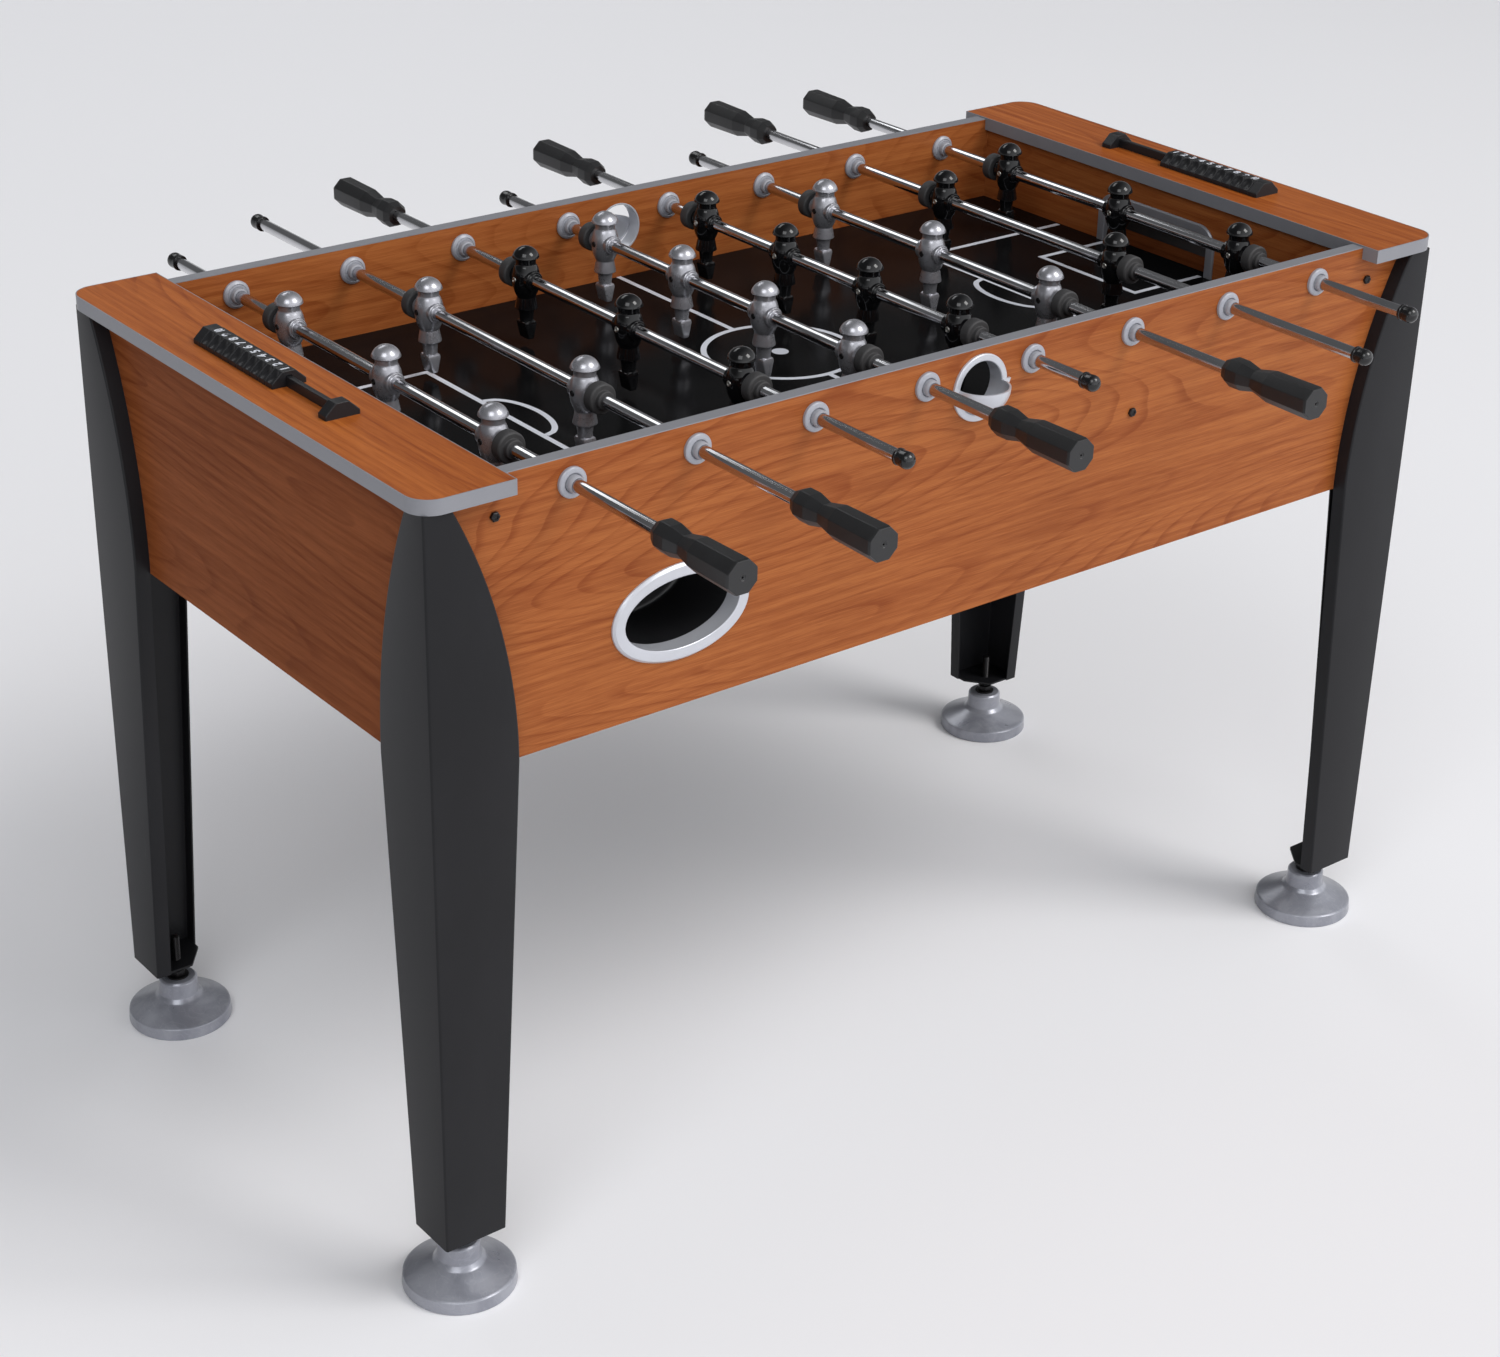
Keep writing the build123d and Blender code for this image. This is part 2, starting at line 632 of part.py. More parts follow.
# ---------------------------------------------------------------- scorers
def scorer_section(y0, y1):
    """Six-sided scorer body between two Y values, centred on X 0, standing on Z 0."""
    half_base = scorer_base_width / 2
    half_top = scorer_top_width / 2
    outline = corners((-half_base, 0), (half_base, 0), (half_base, scorer_skirt), (half_top, scorer_height),
                      (-half_top, scorer_height), (-half_base, scorer_skirt))
    return slab_across(outline, y0, y1)


def make_scorer_rail():
    """Left scorer: end blocks joined by the rail that the beads ride."""
    half = scorer_length / 2
    rail = block((-scorer_rail_width / 2, scorer_rail_width / 2), (-half, half), (0, scorer_rail_height))
    rail += scorer_section(half - bead_pitch, half) + scorer_section(-half, bead_pitch - half)
    return Pos(-scorer_x, 0, table_height) * rail


def make_beads():
    """The left scorer's ten beads, pushed to the far end."""
    beads = []
    slot_half = scorer_rail_width / 2 + scorer_clearance
    for i in range(bead_count):
        y1 = scorer_length / 2 - (i + 1) * bead_pitch - bead_gap
        y0 = y1 - bead_pitch + bead_gap
        bead = scorer_section(y0, y1)
        slot_top = scorer_rail_height + scorer_clearance
        bead -= block((-slot_half, slot_half), (y0 - 1, y1 + 1), (-1, slot_top))
        beads.append(Pos(-scorer_x, 0, table_height + scorer_clearance) * bead)
    return beads


# ---------------------------------------------------------------- build every node
os.makedirs("parts", exist_ok=True)


def pair(make):
    """A left piece (or list of pieces) and its right copy."""
    made = make()
    pieces = made if isinstance(made, list) else [made]
    return pieces + [half_turn(piece) for piece in pieces]


save("side_panels", *pair(make_side_panel))
save("end_panels", *pair(make_end_panel))
save("end_boards", *pair(make_end_board))
save("edge_banding", *pair(make_banding))
save("goal_walls", *pair(make_goal_wall))
save("goal_frames", *pair(make_goal_frame))
save("playfield", make_field())
save("underfield_bars_and_ramps", *pair(make_field_bar), *pair(make_ramp), *pair(make_trough))
save("ball_returns", *pair(make_return))
save("serve_cups", *pair(make_serve_cup))
near_housings = [piece for x in rod_x for piece in make_housings(x)]
save("bearing_housings", *near_housings, *[half_turn(piece) for piece in near_housings])
near_bolts = [make_bolts(x, z) for x, z in bolt_places]
save("cabinet_bolts", *near_bolts, *[half_turn(piece) for piece in near_bolts])

near_left_leg = Pos(-leg_corner_x, -leg_corner_y, 0) * make_leg()
near_right_leg = mirror(near_left_leg, about=Plane.YZ)
save("legs", near_left_leg, near_right_leg, half_turn(near_left_leg), half_turn(near_right_leg))
leveller = make_leveller()
leveller_sides = {"near_left": (-1, -1), "near_right": (1, -1), "far_left": (-1, 1), "far_right": (1, 1)}
for name, (side_x, side_y) in leveller_sides.items():
    save(f"leveller_{name}", Pos(side_x * leveller_x, side_y * leveller_y, 0) * leveller)

save("scorer_rails", *pair(make_scorer_rail))
left_beads = make_beads()
save("scorer_beads_left", *left_beads)
save("scorer_beads_right", *[half_turn(bead) for bead in left_beads])

rod_sets = {men: make_rod_set(men) for men in sorted(set(rod_men))}
bushes = make_bushes()
for number in range(rod_count):
    turn = Rot(0, 0, 0) if rod_handle_side[number] > 0 else Rot(0, 0, 180)
    place = Pos(rod_x[number], rod_offset[number], rod_z) * turn
    rod, players, handle, rubbers = rod_sets[rod_men[number]]
    save(f"rod_{number + 1}", place * rod)
    save(f"men_{number + 1}", *[place * man for man in players])
    save(f"handle_{number + 1}", place * handle)
    save(f"bumpers_and_cap_{number + 1}", *[place * rubber for rubber in rubbers])
    save(f"bushes_{number + 1}", *[Pos(rod_x[number], 0, rod_z) * bush for bush in bushes])
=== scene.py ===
"""Looks for a home foosball table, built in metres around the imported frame.

The frame gives every place and size that two pieces share. Shapes are worked out in millimetres as
numpy grids and turned into metres when a mesh is made. X runs along the table, Y across it, Z up.
"""
import json
import logging
import math
from dataclasses import dataclass, field
from enum import Enum
from typing import Any, Iterable, Sequence

import bmesh
import bpy
import numpy as np
from mathutils import Matrix, Vector

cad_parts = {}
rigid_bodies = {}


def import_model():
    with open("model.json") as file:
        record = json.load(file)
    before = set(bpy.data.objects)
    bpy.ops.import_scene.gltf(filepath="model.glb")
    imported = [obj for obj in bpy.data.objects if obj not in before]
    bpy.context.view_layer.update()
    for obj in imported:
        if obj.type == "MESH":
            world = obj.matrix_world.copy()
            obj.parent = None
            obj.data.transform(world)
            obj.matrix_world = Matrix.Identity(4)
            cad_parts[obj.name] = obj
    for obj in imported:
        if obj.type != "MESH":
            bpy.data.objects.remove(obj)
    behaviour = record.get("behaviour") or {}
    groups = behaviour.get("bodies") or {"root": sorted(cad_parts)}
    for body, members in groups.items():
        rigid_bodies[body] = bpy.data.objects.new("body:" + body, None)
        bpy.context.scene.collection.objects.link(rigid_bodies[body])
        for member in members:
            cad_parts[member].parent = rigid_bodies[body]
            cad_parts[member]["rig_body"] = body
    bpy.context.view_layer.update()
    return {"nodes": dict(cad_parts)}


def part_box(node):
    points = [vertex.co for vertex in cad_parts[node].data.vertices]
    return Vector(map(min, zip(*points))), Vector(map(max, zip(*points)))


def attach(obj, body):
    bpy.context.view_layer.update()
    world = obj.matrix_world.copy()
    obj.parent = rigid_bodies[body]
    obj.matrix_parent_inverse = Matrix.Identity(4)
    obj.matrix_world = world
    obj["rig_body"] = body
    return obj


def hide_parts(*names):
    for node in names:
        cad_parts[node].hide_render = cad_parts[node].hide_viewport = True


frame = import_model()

LOG = logging.getLogger("foosball_table")
MM = 0.001
MERGE_MM = 0.002
Colour = tuple[float, float, float]
Point = tuple[float, float, float]


class Axis(Enum):
    """Axis that a turned shape or a grain follows."""

    X = 0
    Y = 1
    Z = 2


# ---------------------------------------------------------------- shader wires
class Wire:
    """Output of a node, whose arithmetic adds Math nodes to the same tree."""

    def __init__(self, paint: "Graph", socket: bpy.types.NodeSocket) -> None:
        """Keeps the graph that owns the tree and the socket this wire leaves."""
        self.paint = paint
        self.socket = socket

    def math(self, operation: str, *values: Any) -> "Wire":
        """Adds one Math node.

        Args:
            operation: Blender's name of the operation.
            values: wires or numbers, in the order of the node's sockets.

        Returns:
            The node's output.
        """
        return self.paint.node("ShaderNodeMath", {"operation": operation}, dict(enumerate(values)))

    def __add__(self, other: Any) -> "Wire":
        """Sum."""
        return self.math("ADD", self, other)

    def __radd__(self, other: Any) -> "Wire":
        """Sum with a number on the left."""
        return self.math("ADD", other, self)

    def __sub__(self, other: Any) -> "Wire":
        """Difference."""
        return self.math("SUBTRACT", self, other)

    def __rsub__(self, other: Any) -> "Wire":
        """Difference from a number on the left."""
        return self.math("SUBTRACT", other, self)

    def __mul__(self, other: Any) -> "Wire":
        """Product."""
        return self.math("MULTIPLY", self, other)

    def __rmul__(self, other: Any) -> "Wire":
        """Product with a number on the left."""
        return self.math("MULTIPLY", other, self)

    def __pow__(self, other: Any) -> "Wire":
        """Power."""
        return self.math("POWER", self, other)

    def fraction(self) -> "Wire":
        """Part after the decimal point."""
        return self.math("FRACT", self)

    def smooth(self, low: float, high: float, start: float = 0.0, end: float = 1.0) -> "Wire":
        """Smooth step from start at low to end at high."""
        settings = {"interpolation_type": "SMOOTHSTEP"}
        inputs = {"Value": self, "From Min": low, "From Max": high, "To Min": start, "To Max": end}
        return self.paint.node("ShaderNodeMapRange", settings, inputs)


class Graph:
    """Node tree of a material or a world, emptied when it is taken over."""

    def __init__(self, owner: bpy.types.Material | bpy.types.World) -> None:
        """Clears the owner's tree."""
        owner.use_nodes = True
        self.tree = owner.node_tree
        self.tree.nodes.clear()

    def node(self, kind: str, settings: dict[str, Any] | None = None, inputs: dict[Any, Any] | None = None,
             output: int | str | None = 0) -> Wire | None:
        """Adds any node.

        Args:
            kind: Blender's node type.
            settings: properties, set before the sockets.
            inputs: socket name or number to a wire or a value.
            output: socket the returned wire leaves, or None for a node that has none.

        Returns:
            The chosen output, or None.
        """
        made = self.tree.nodes.new(kind)
        for key, value in (settings or {}).items():
            setattr(made, key, value)
        for key, value in (inputs or {}).items():
            if isinstance(value, Wire):
                self.tree.links.new(value.socket, made.inputs[key])
            else:
                made.inputs[key].default_value = value
        return None if output is None else Wire(self, made.outputs[output])

    def components(self, vector: Wire) -> tuple[Wire, Wire, Wire]:
        """Splits a vector into X, Y and Z."""
        apart = self.node("ShaderNodeSeparateXYZ", None, {0: vector}).socket.node
        return tuple(Wire(self, output) for output in apart.outputs)


class Paint(Graph):
    """A material under construction, ending in one Principled shader."""

    def __init__(self, name: str) -> None:
        """Starts a material whose shader is joined to its output."""
        self.material = bpy.data.materials.new(name)
        super().__init__(self.material)
        shader = self.node("ShaderNodeBsdfPrincipled")
        self.shader = shader.socket.node
        self.node("ShaderNodeOutputMaterial", None, {"Surface": shader}, None)

    def spot(self, order: str = "XYZ", stretch: Point = (1.0, 1.0, 1.0),
             shift: Point = (0.0, 0.0, 0.0)) -> Wire:
        """Object coordinates in metres, with their axes reordered, then shifted and stretched.

        Args:
            order: which object axis feeds each axis of the pattern.
            stretch: pattern units per metre along each axis of the pattern.
            shift: pattern units added along each axis.

        Returns:
            The mapped vector.
        """
        place = self.node("ShaderNodeTexCoord", None, None, "Object")
        if order != "XYZ":
            axes = dict(zip("XYZ", self.components(place)))
            feeds = {slot: axes[axis] for slot, axis in zip("XYZ", order)}
            place = self.node("ShaderNodeCombineXYZ", None, feeds)
        return self.node("ShaderNodeMapping", None, {"Vector": place, "Scale": stretch, "Location": shift})

    def noise(self, at: Wire, scale: float = 1.0, detail: float = 2.0, roughness: float = 0.5,
              distortion: float = 0.0) -> Wire:
        """Noise value around 0.5 at a mapped place."""
        inputs = {"Vector": at, "Scale": scale, "Detail": detail, "Roughness": roughness,
                  "Distortion": distortion}
        return self.node("ShaderNodeTexNoise", None, inputs)

    def mix(self, factor: Any, first: Any, second: Any) -> Wire:
        """Colour between first and second; colours are wires or three numbers."""
        pair = [value if isinstance(value, Wire) else (*value, 1.0) for value in (first, second)]
        settings = {"data_type": "RGBA", "clamp_factor": True}
        return self.node("ShaderNodeMix", settings, {0: factor, 6: pair[0], 7: pair[1]}, 2)

    def bump(self, height: Wire, depth_mm: float, strength: float = 1.0) -> Wire:
        """Normal of a surface raised by height times a depth in millimetres."""
        inputs = {"Height": height, "Distance": depth_mm * MM, "Strength": strength}
        return self.node("ShaderNodeBump", None, inputs)

    def finish(self, **sockets: Any) -> bpy.types.Material:
        """Joins wires and sets constants on the shader, base_color meaning Base Color and so on.

        Returns:
            The finished material.
        """
        for key, value in sockets.items():
            socket = self.shader.inputs[NAMES.get(key, key.replace("_", " ").title())]
            if isinstance(value, Wire):
                self.tree.links.new(value.socket, socket)
            elif isinstance(value, tuple):
                socket.default_value = (*value, 1.0)
            else:
                socket.default_value = value
        return self.material


NAMES = {"ior": "IOR", "specular": "Specular IOR Level"}


# ---------------------------------------------------------------- finishes
@dataclass(frozen=True)
class CherryLaminate:
    """Cherry-print foil on board: thin growth lines that close in long ovals, streaks and fibres."""

    name: str
    order: str = "XZY"  # object axes along the grain, across it and through the board
    light: Colour = (0.37, 0.122, 0.034)
    dark: Colour = (0.195, 0.045, 0.010)
    seed: float = 0.0
    rings: float = 34.0
    roughness: float = 0.36
    ior: float = 1.22

    def paint(self) -> bpy.types.Material:
        """Builds the laminate.

        Growth lines are the contours of a noise field stretched along the grain: each whole step of
        the field, times the number of rings, is one line that darkens slowly and ends sharply.

        Returns:
            The material.
        """
        paint = Paint(self.name)
        shift = (self.seed, 0.3 * self.seed, 0.0)
        swell = paint.noise(paint.spot(self.order, (1.0, 5.8, 1.0), shift), 1.0, 1.0, 0.35)
        waver = paint.noise(paint.spot(self.order, (7.0, 40.0, 1.0), shift), 1.0, 2.0)
        ring = (swell * self.rings + waver * 0.45).fraction()
        late = ring.smooth(0.55, 0.95) ** 1.6 * ring.smooth(0.95, 1.0, 1.0, 0.0)
        broken = paint.noise(paint.spot(self.order, (2.6, 26.0, 1.0), shift), 1.0, 2.0).smooth(0.3, 0.68)
        patch = paint.noise(paint.spot(self.order, (1.1, 11.0, 1.0), shift), 1.0, 2.0)
        streak = paint.noise(paint.spot(self.order, (3.6, 150.0, 9.0), shift), 1.0, 3.0, 0.6)
        fibre = paint.noise(paint.spot(self.order, (34.0, 1200.0, 60.0), shift), 1.0, 2.0, 0.6)
        pore = paint.noise(paint.spot(self.order, (60.0, 1500.0, 90.0)), 1.0, 1.0).smooth(0.66, 0.8)
        tone = (late * (broken * 0.3 + 0.04) + (patch - 0.5) * 0.5 + (streak - 0.5) * 1.25
                + (fibre - 0.5) * 0.9 + 0.45)
        base = paint.mix(tone.smooth(-0.15, 1.05), self.light, self.dark)
        colour = paint.mix(pore * 0.3, base, tuple(0.6 * share for share in self.dark))
        sheen = self.roughness + (streak - 0.5) * 0.14 + pore * 0.1
        normal = paint.bump(fibre * 0.5 - pore, 0.04, 0.5)
        return paint.finish(base_color=colour, roughness=sheen, normal=normal, ior=self.ior)


@dataclass(frozen=True)
class Moulding:
    """Moulded or painted surface: tone drift, fine texture, and flake where it is metallic paint."""

    name: str
    colour: Colour
    roughness: float = 0.4
    metallic: float = 0.0
    coat: float = 0.0
    drift: float = 0.12
    drift_mm: float = 30.0
    grain_mm: float = 0.8
    grain_depth_mm: float = 0.01
    flake: float = 0.0
    specular: float = 0.5

    def paint(self) -> bpy.types.Material:
        """Builds the surface.

        Returns:
            The material.
        """
        paint = Paint(self.name)
        slow = paint.noise(paint.spot(), 1.0 / (self.drift_mm * MM), 3.0, 0.6)
        fine = paint.noise(paint.spot(), 1.0 / (self.grain_mm * MM), 2.0, 0.6)
        dark = tuple(share * (1.0 - self.drift) for share in self.colour)
        light = tuple(min(1.0, share * (1.0 + self.drift)) for share in self.colour)
        colour = paint.mix(slow + (fine - 0.5) * (2.0 * self.flake), dark, light)
        rough = self.roughness + (slow - 0.5) * (0.25 * self.roughness) + (fine - 0.5) * (0.2 * self.flake)
        normal = paint.bump(fine, self.grain_depth_mm)
        return paint.finish(base_color=colour, roughness=rough, normal=normal, metallic=self.metallic,
                            coat_weight=self.coat, coat_roughness=0.06, specular=self.specular)


@dataclass(frozen=True)
class PearlPlastic:
    """Pearlescent grey plastic with the swirls left by the melt's flow."""

    name: str
    deep: Colour = (0.225, 0.232, 0.268)
    bright: Colour = (0.315, 0.322, 0.362)
    roughness: float = 0.3

    def paint(self) -> bpy.types.Material:
        """Builds the plastic.

        Returns:
            The material.
        """
        paint = Paint(self.name)
        swirl = paint.noise(paint.spot(stretch=(16.0, 16.0, 9.0)), 1.0, 4.0, 0.55, 1.8)
        across = paint.spot(stretch=(30.0, 22.0, 30.0), shift=(4.0, 0.0, 1.0))
        vein = paint.noise(across, 1.0, 2.0, 0.5, 2.6)
        thread = vein.smooth(0.47, 0.5) * vein.smooth(0.5, 0.53, 1.0, 0.0)
        flake = paint.noise(paint.spot(), 1600.0, 1.0)
        tone = swirl.smooth(0.3, 0.72) + thread * 0.3 + (flake - 0.5) * 0.5
        colour = paint.mix(tone, self.deep, self.bright)
        rough = self.roughness + (swirl - 0.5) * 0.16
        return paint.finish(base_color=colour, roughness=rough, metallic=0.35, coat_weight=0.25,
                            coat_roughness=0.15, normal=paint.bump(swirl + flake * 0.04, 0.06))


@dataclass(frozen=True)
class PowderCoat:
    """Black powder coat on pressed steel: orange peel, faint dust and rub marks."""

    name: str
    colour: Colour = (0.0085, 0.0085, 0.0098)
    roughness: float = 0.4

    def paint(self) -> bpy.types.Material:
        """Builds the coat.

        Returns:
            The material.
        """
        paint = Paint(self.name)
        peel = paint.noise(paint.spot(), 700.0, 1.0)
        cloud = paint.noise(paint.spot(stretch=(6.0, 6.0, 2.5)), 1.0, 4.0, 0.6)
        rub = paint.noise(paint.spot(stretch=(60.0, 60.0, 9.0)), 1.0, 3.0, 0.7).smooth(0.66, 0.8)
        lifted = tuple(share * 1.9 for share in self.colour)
        colour = paint.mix(cloud.smooth(0.35, 0.7) * 0.5 + rub * 0.35, self.colour, lifted)
        rough = self.roughness + (cloud - 0.5) * 0.14 - rub * 0.06
        return paint.finish(base_color=colour, roughness=rough, ior=1.3, normal=paint.bump(peel, 0.03))


@dataclass(frozen=True)
class PolishedRod:
    """Chromed steel bar with soft handling marks."""

    name: str
    colour: Colour = (0.60, 0.60, 0.62)

    def paint(self) -> bpy.types.Material:
        """Builds the plating.

        Returns:
            The material.
        """
        paint = Paint(self.name)
        smear = paint.noise(paint.spot(stretch=(20.0, 9.0, 20.0)), 1.0, 3.0, 0.6)
        dulled = tuple(share * 0.82 for share in self.colour)
        colour = paint.mix(smear.smooth(0.35, 0.75), self.colour, dulled)
        rough = 0.13 + (smear - 0.4) * 0.06
        return paint.finish(base_color=colour, roughness=rough, metallic=1.0)


@dataclass(frozen=True)
class FieldSheet:
    """Black laminated playing surface: even gloss, with scuffs where the ball and the feet run."""

    name: str
    colour: Colour = (0.0045, 0.0045, 0.0048)
    roughness: float = 0.15

    def paint(self) -> bpy.types.Material:
        """Builds the sheet.

        Returns:
            The material.
        """
        paint = Paint(self.name)
        haze = paint.noise(paint.spot(stretch=(5.0, 7.0, 5.0)), 1.0, 4.0, 0.6)
        scuff = paint.noise(paint.spot(stretch=(120.0, 14.0, 10.0)), 1.0, 3.0, 0.65, 0.6).smooth(0.64, 0.78)
        lifted = tuple(share * 2.2 for share in self.colour)
        colour = paint.mix(haze.smooth(0.4, 0.75) * 0.4 + scuff * 0.35, self.colour, lifted)
        rough = self.roughness + (haze - 0.5) * 0.12 + scuff * 0.07
        return paint.finish(base_color=colour, roughness=rough, ior=1.11, normal=paint.bump(haze, 0.03))


@dataclass(frozen=True)
class RawBoard:
    """Unfaced fibreboard: brown, matt, with fibres and specks."""

    name: str
    colour: Colour = (0.23, 0.145, 0.082)

    def paint(self) -> bpy.types.Material:
        """Builds the board.

        Returns:
            The material.
        """
        paint = Paint(self.name)
        fibre = paint.noise(paint.spot(stretch=(900.0, 500.0, 900.0)), 1.0, 3.0, 0.7, 0.8)
        cloud = paint.noise(paint.spot(), 14.0, 3.0)
        dark = tuple(share * 0.62 for share in self.colour)
        light = tuple(share * 1.25 for share in self.colour)
        colour = paint.mix(fibre.smooth(0.3, 0.7) * 0.7 + (cloud - 0.35) * 0.6, dark, light)
        return paint.finish(base_color=colour, roughness=0.82 + (fibre - 0.5) * 0.12,
                            normal=paint.bump(fibre, 0.08))


@dataclass(frozen=True)
class Finishes:
    """Every finish on the table, painted once."""

    side_cherry: CherryLaminate = CherryLaminate("cherry_side_panels", "XZY", seed=2.0)
    # Same cherry print as the side panels, painted darker: painted shade for the end panels, which face
    # away from the key light.
    end_cherry: CherryLaminate = CherryLaminate(
        "cherry_end_panels_painted_shade", "YZX", light=(0.26, 0.080, 0.026), dark=(0.135, 0.033, 0.009), seed=11.0,
        ior=1.08)
    # Same cherry print as the side panels, painted lighter and more orange: painted light for the end
    # boards' upward-facing tops.
    board_cherry: CherryLaminate = CherryLaminate(
        "cherry_end_boards_painted_light", "YXZ", light=(0.45, 0.132, 0.025), dark=(0.22, 0.044, 0.005), seed=5.0,
        rings=30.0)
    wall_cherry: CherryLaminate = CherryLaminate("cherry_goal_walls", "YZX", seed=17.0)
    banding: Moulding = Moulding(
        "banding_grey", (0.215, 0.218, 0.238), 0.42, 0.12, drift=0.06, grain_mm=1.4, flake=0.12)
    field_sheet: FieldSheet = FieldSheet("field_black")
    white_print: Moulding = Moulding("white_print", (0.62, 0.64, 0.70), 0.4, drift=0.05, drift_mm=12.0)
    raw_board: RawBoard = RawBoard("raw_fibreboard")
    silver_cup: Moulding = Moulding(
        "silver_plastic", (0.53, 0.54, 0.58), 0.33, 0.4, drift=0.07, grain_mm=0.5, flake=0.25)
    goal_grey: Moulding = Moulding(
        "goal_frame_grey", (0.25, 0.255, 0.28), 0.36, 0.35, drift=0.08, grain_mm=0.5, flake=0.25)
    # Black of the ball-return trays, also used on the sheets that paint shade inside the goal mouths.
    dark_liner: Moulding = Moulding("return_black_and_painted_shade", (0.010, 0.010, 0.011), 0.3, drift=0.2)
    bearing_grey: Moulding = Moulding("bearing_grey", (0.31, 0.315, 0.35), 0.36, 0.1, drift=0.06,
                                      grain_mm=1.0)
    bush_grey: Moulding = Moulding("bush_grey", (0.29, 0.295, 0.325), 0.4, drift=0.05)
    screw_black: Moulding = Moulding("screw_black_oxide", (0.022, 0.021, 0.022), 0.32, 0.75, grain_mm=0.4)
    zinc: Moulding = Moulding("zinc_stud", (0.50, 0.49, 0.46), 0.3, 1.0, drift=0.12, drift_mm=6.0,
                              grain_mm=0.5)
    steel_black: PowderCoat = PowderCoat("leg_powder_coat")
    foot_pearl: PearlPlastic = PearlPlastic("foot_pearl_grey")
    scorer_black: Moulding = Moulding(
        "scorer_black", (0.011, 0.011, 0.0125), 0.38, drift=0.15, grain_mm=1.0, specular=0.32)
    rod_chrome: PolishedRod = PolishedRod("rod_chrome")
    silver_man: Moulding = Moulding(
        "silver_players", (0.37, 0.37, 0.40), 0.28, 0.72, 0.25, drift=0.07, drift_mm=14.0, grain_mm=0.35,
        flake=0.3)
    black_man: Moulding = Moulding(
        "black_players", (0.004, 0.004, 0.0045), 0.09, drift=0.2, drift_mm=14.0, grain_depth_mm=0.004,
        specular=0.4)
    grip_black: Moulding = Moulding(
        "grip_black", (0.0088, 0.0088, 0.0096), 0.43, drift=0.2, drift_mm=18.0, grain_mm=0.55,
        grain_depth_mm=0.05)
    cap_black: Moulding = Moulding(
        "end_cap_black", (0.007, 0.007, 0.0075), 0.2, drift=0.15, drift_mm=9.0, grain_depth_mm=0.006)
    rubber: Moulding = Moulding(
        "bumper_rubber", (0.036, 0.035, 0.036), 0.62, drift=0.18, drift_mm=9.0, grain_mm=0.6,
        grain_depth_mm=0.03)
    painted: dict[str, bpy.types.Material] = field(default_factory=dict)

    def __getitem__(self, key: str) -> bpy.types.Material:
        """Returns the named finish's material, painted on first use."""
        if key not in self.painted:
            self.painted[key] = getattr(self, key).paint()
        return self.painted[key]


# ---------------------------------------------------------------- grids
def rounded(corners: Sequence[tuple[float, float, float]], closed: bool = False,
            steps: int = 4) -> np.ndarray:
    """Outline through (u, v, radius) corners.

    Each corner is replaced by the curve (1-t)^2 A + 2t(1-t) C + t^2 B between the points A and B that
    lie radius * tan(half the turn) before and after it.

    Args:
        corners: the outline's corners; the end corners of an open outline keep their points.
        closed: joins the last corner to the first.
        steps: spans along each rounded corner.

    Returns:
        Points as (count, 2).
    """
    table = np.array(corners, float)
    if closed:
        table = np.vstack([table[-1:], table, table[:1]])
    points = table[:, :2]
    ahead = np.diff(points, axis=0)
    lengths = np.linalg.norm(ahead, axis=1)
    heading = ahead / lengths[:, None]
    cosine = np.clip((heading[:-1] * heading[1:]).sum(1), -0.9999, 1.0)
    setback = table[1:-1, 2] * np.tan(np.arccos(cosine) / 2)
    setback = np.minimum(setback, 0.48 * np.minimum(lengths[:-1], lengths[1:]))[:, None]
    middle = points[1:-1]
    start = middle - heading[:-1] * setback
    end = middle + heading[1:] * setback
    t = np.linspace(0.0, 1.0, steps + 1)[None, :, None]
    curve = (1 - t) ** 2 * start[:, None] + 2 * t * (1 - t) * middle[:, None] + t ** 2 * end[:, None]
    curve = curve.reshape(-1, 2)
    return curve if closed else np.vstack([points[:1], curve, points[-1:]])


def turned(profile: np.ndarray, axis: Axis = Axis.Z, centre: Point = (0.0, 0.0, 0.0),
           segments: int = 40) -> np.ndarray:
    """Surface of revolution: point = centre + radius * (cos a, sin a) about the axis, plus height along it.

    Args:
        profile: (radius, height) points.
        axis: axis of revolution.
        centre: point on the axis that heights are measured from.
        segments: points round the axis.

    Returns:
        Grid of (profile points, segments, 3).
    """
    angle = np.linspace(0.0, 2 * math.pi, segments, endpoint=False)
    grid = np.zeros((len(profile), segments, 3))
    across = [index for index in range(3) if index != axis.value]
    grid[..., across[0]] = profile[:, 0, None] * np.cos(angle)
    grid[..., across[1]] = profile[:, 0, None] * np.sin(angle)
    grid[..., axis.value] = profile[:, 1, None]
    return grid + np.array(centre)


def oval(section: np.ndarray, half_x: float, half_z: float, centre: Point,
         segments: int = 72) -> np.ndarray:
    """Section carried round an oval: point = centre + ((half_x + u) cos a, v, (half_z + u) sin a).

    Args:
        section: (outward offset u, depth v) points.
        half_x: oval's half length.
        half_z: oval's half height.
        centre: oval's centre.
        segments: points round the oval.

    Returns:
        Grid of (section points, segments, 3).
    """
    angle = np.linspace(0.0, 2 * math.pi, segments, endpoint=False)
    u = section[:, 0, None]
    v = section[:, 1, None] + 0.0 * angle
    grid = np.stack([(half_x + u) * np.cos(angle), v, (half_z + u) * np.sin(angle)], -1)
    return grid + np.array(centre)


def prism(outline: np.ndarray, low: float, high: float, axis: Axis = Axis.Z) -> np.ndarray:
    """Outline carried straight along an axis, as a grid of two rows."""
    ends = [np.insert(outline, axis.value, level, axis=1) for level in (low, high)]
    return np.stack(ends)


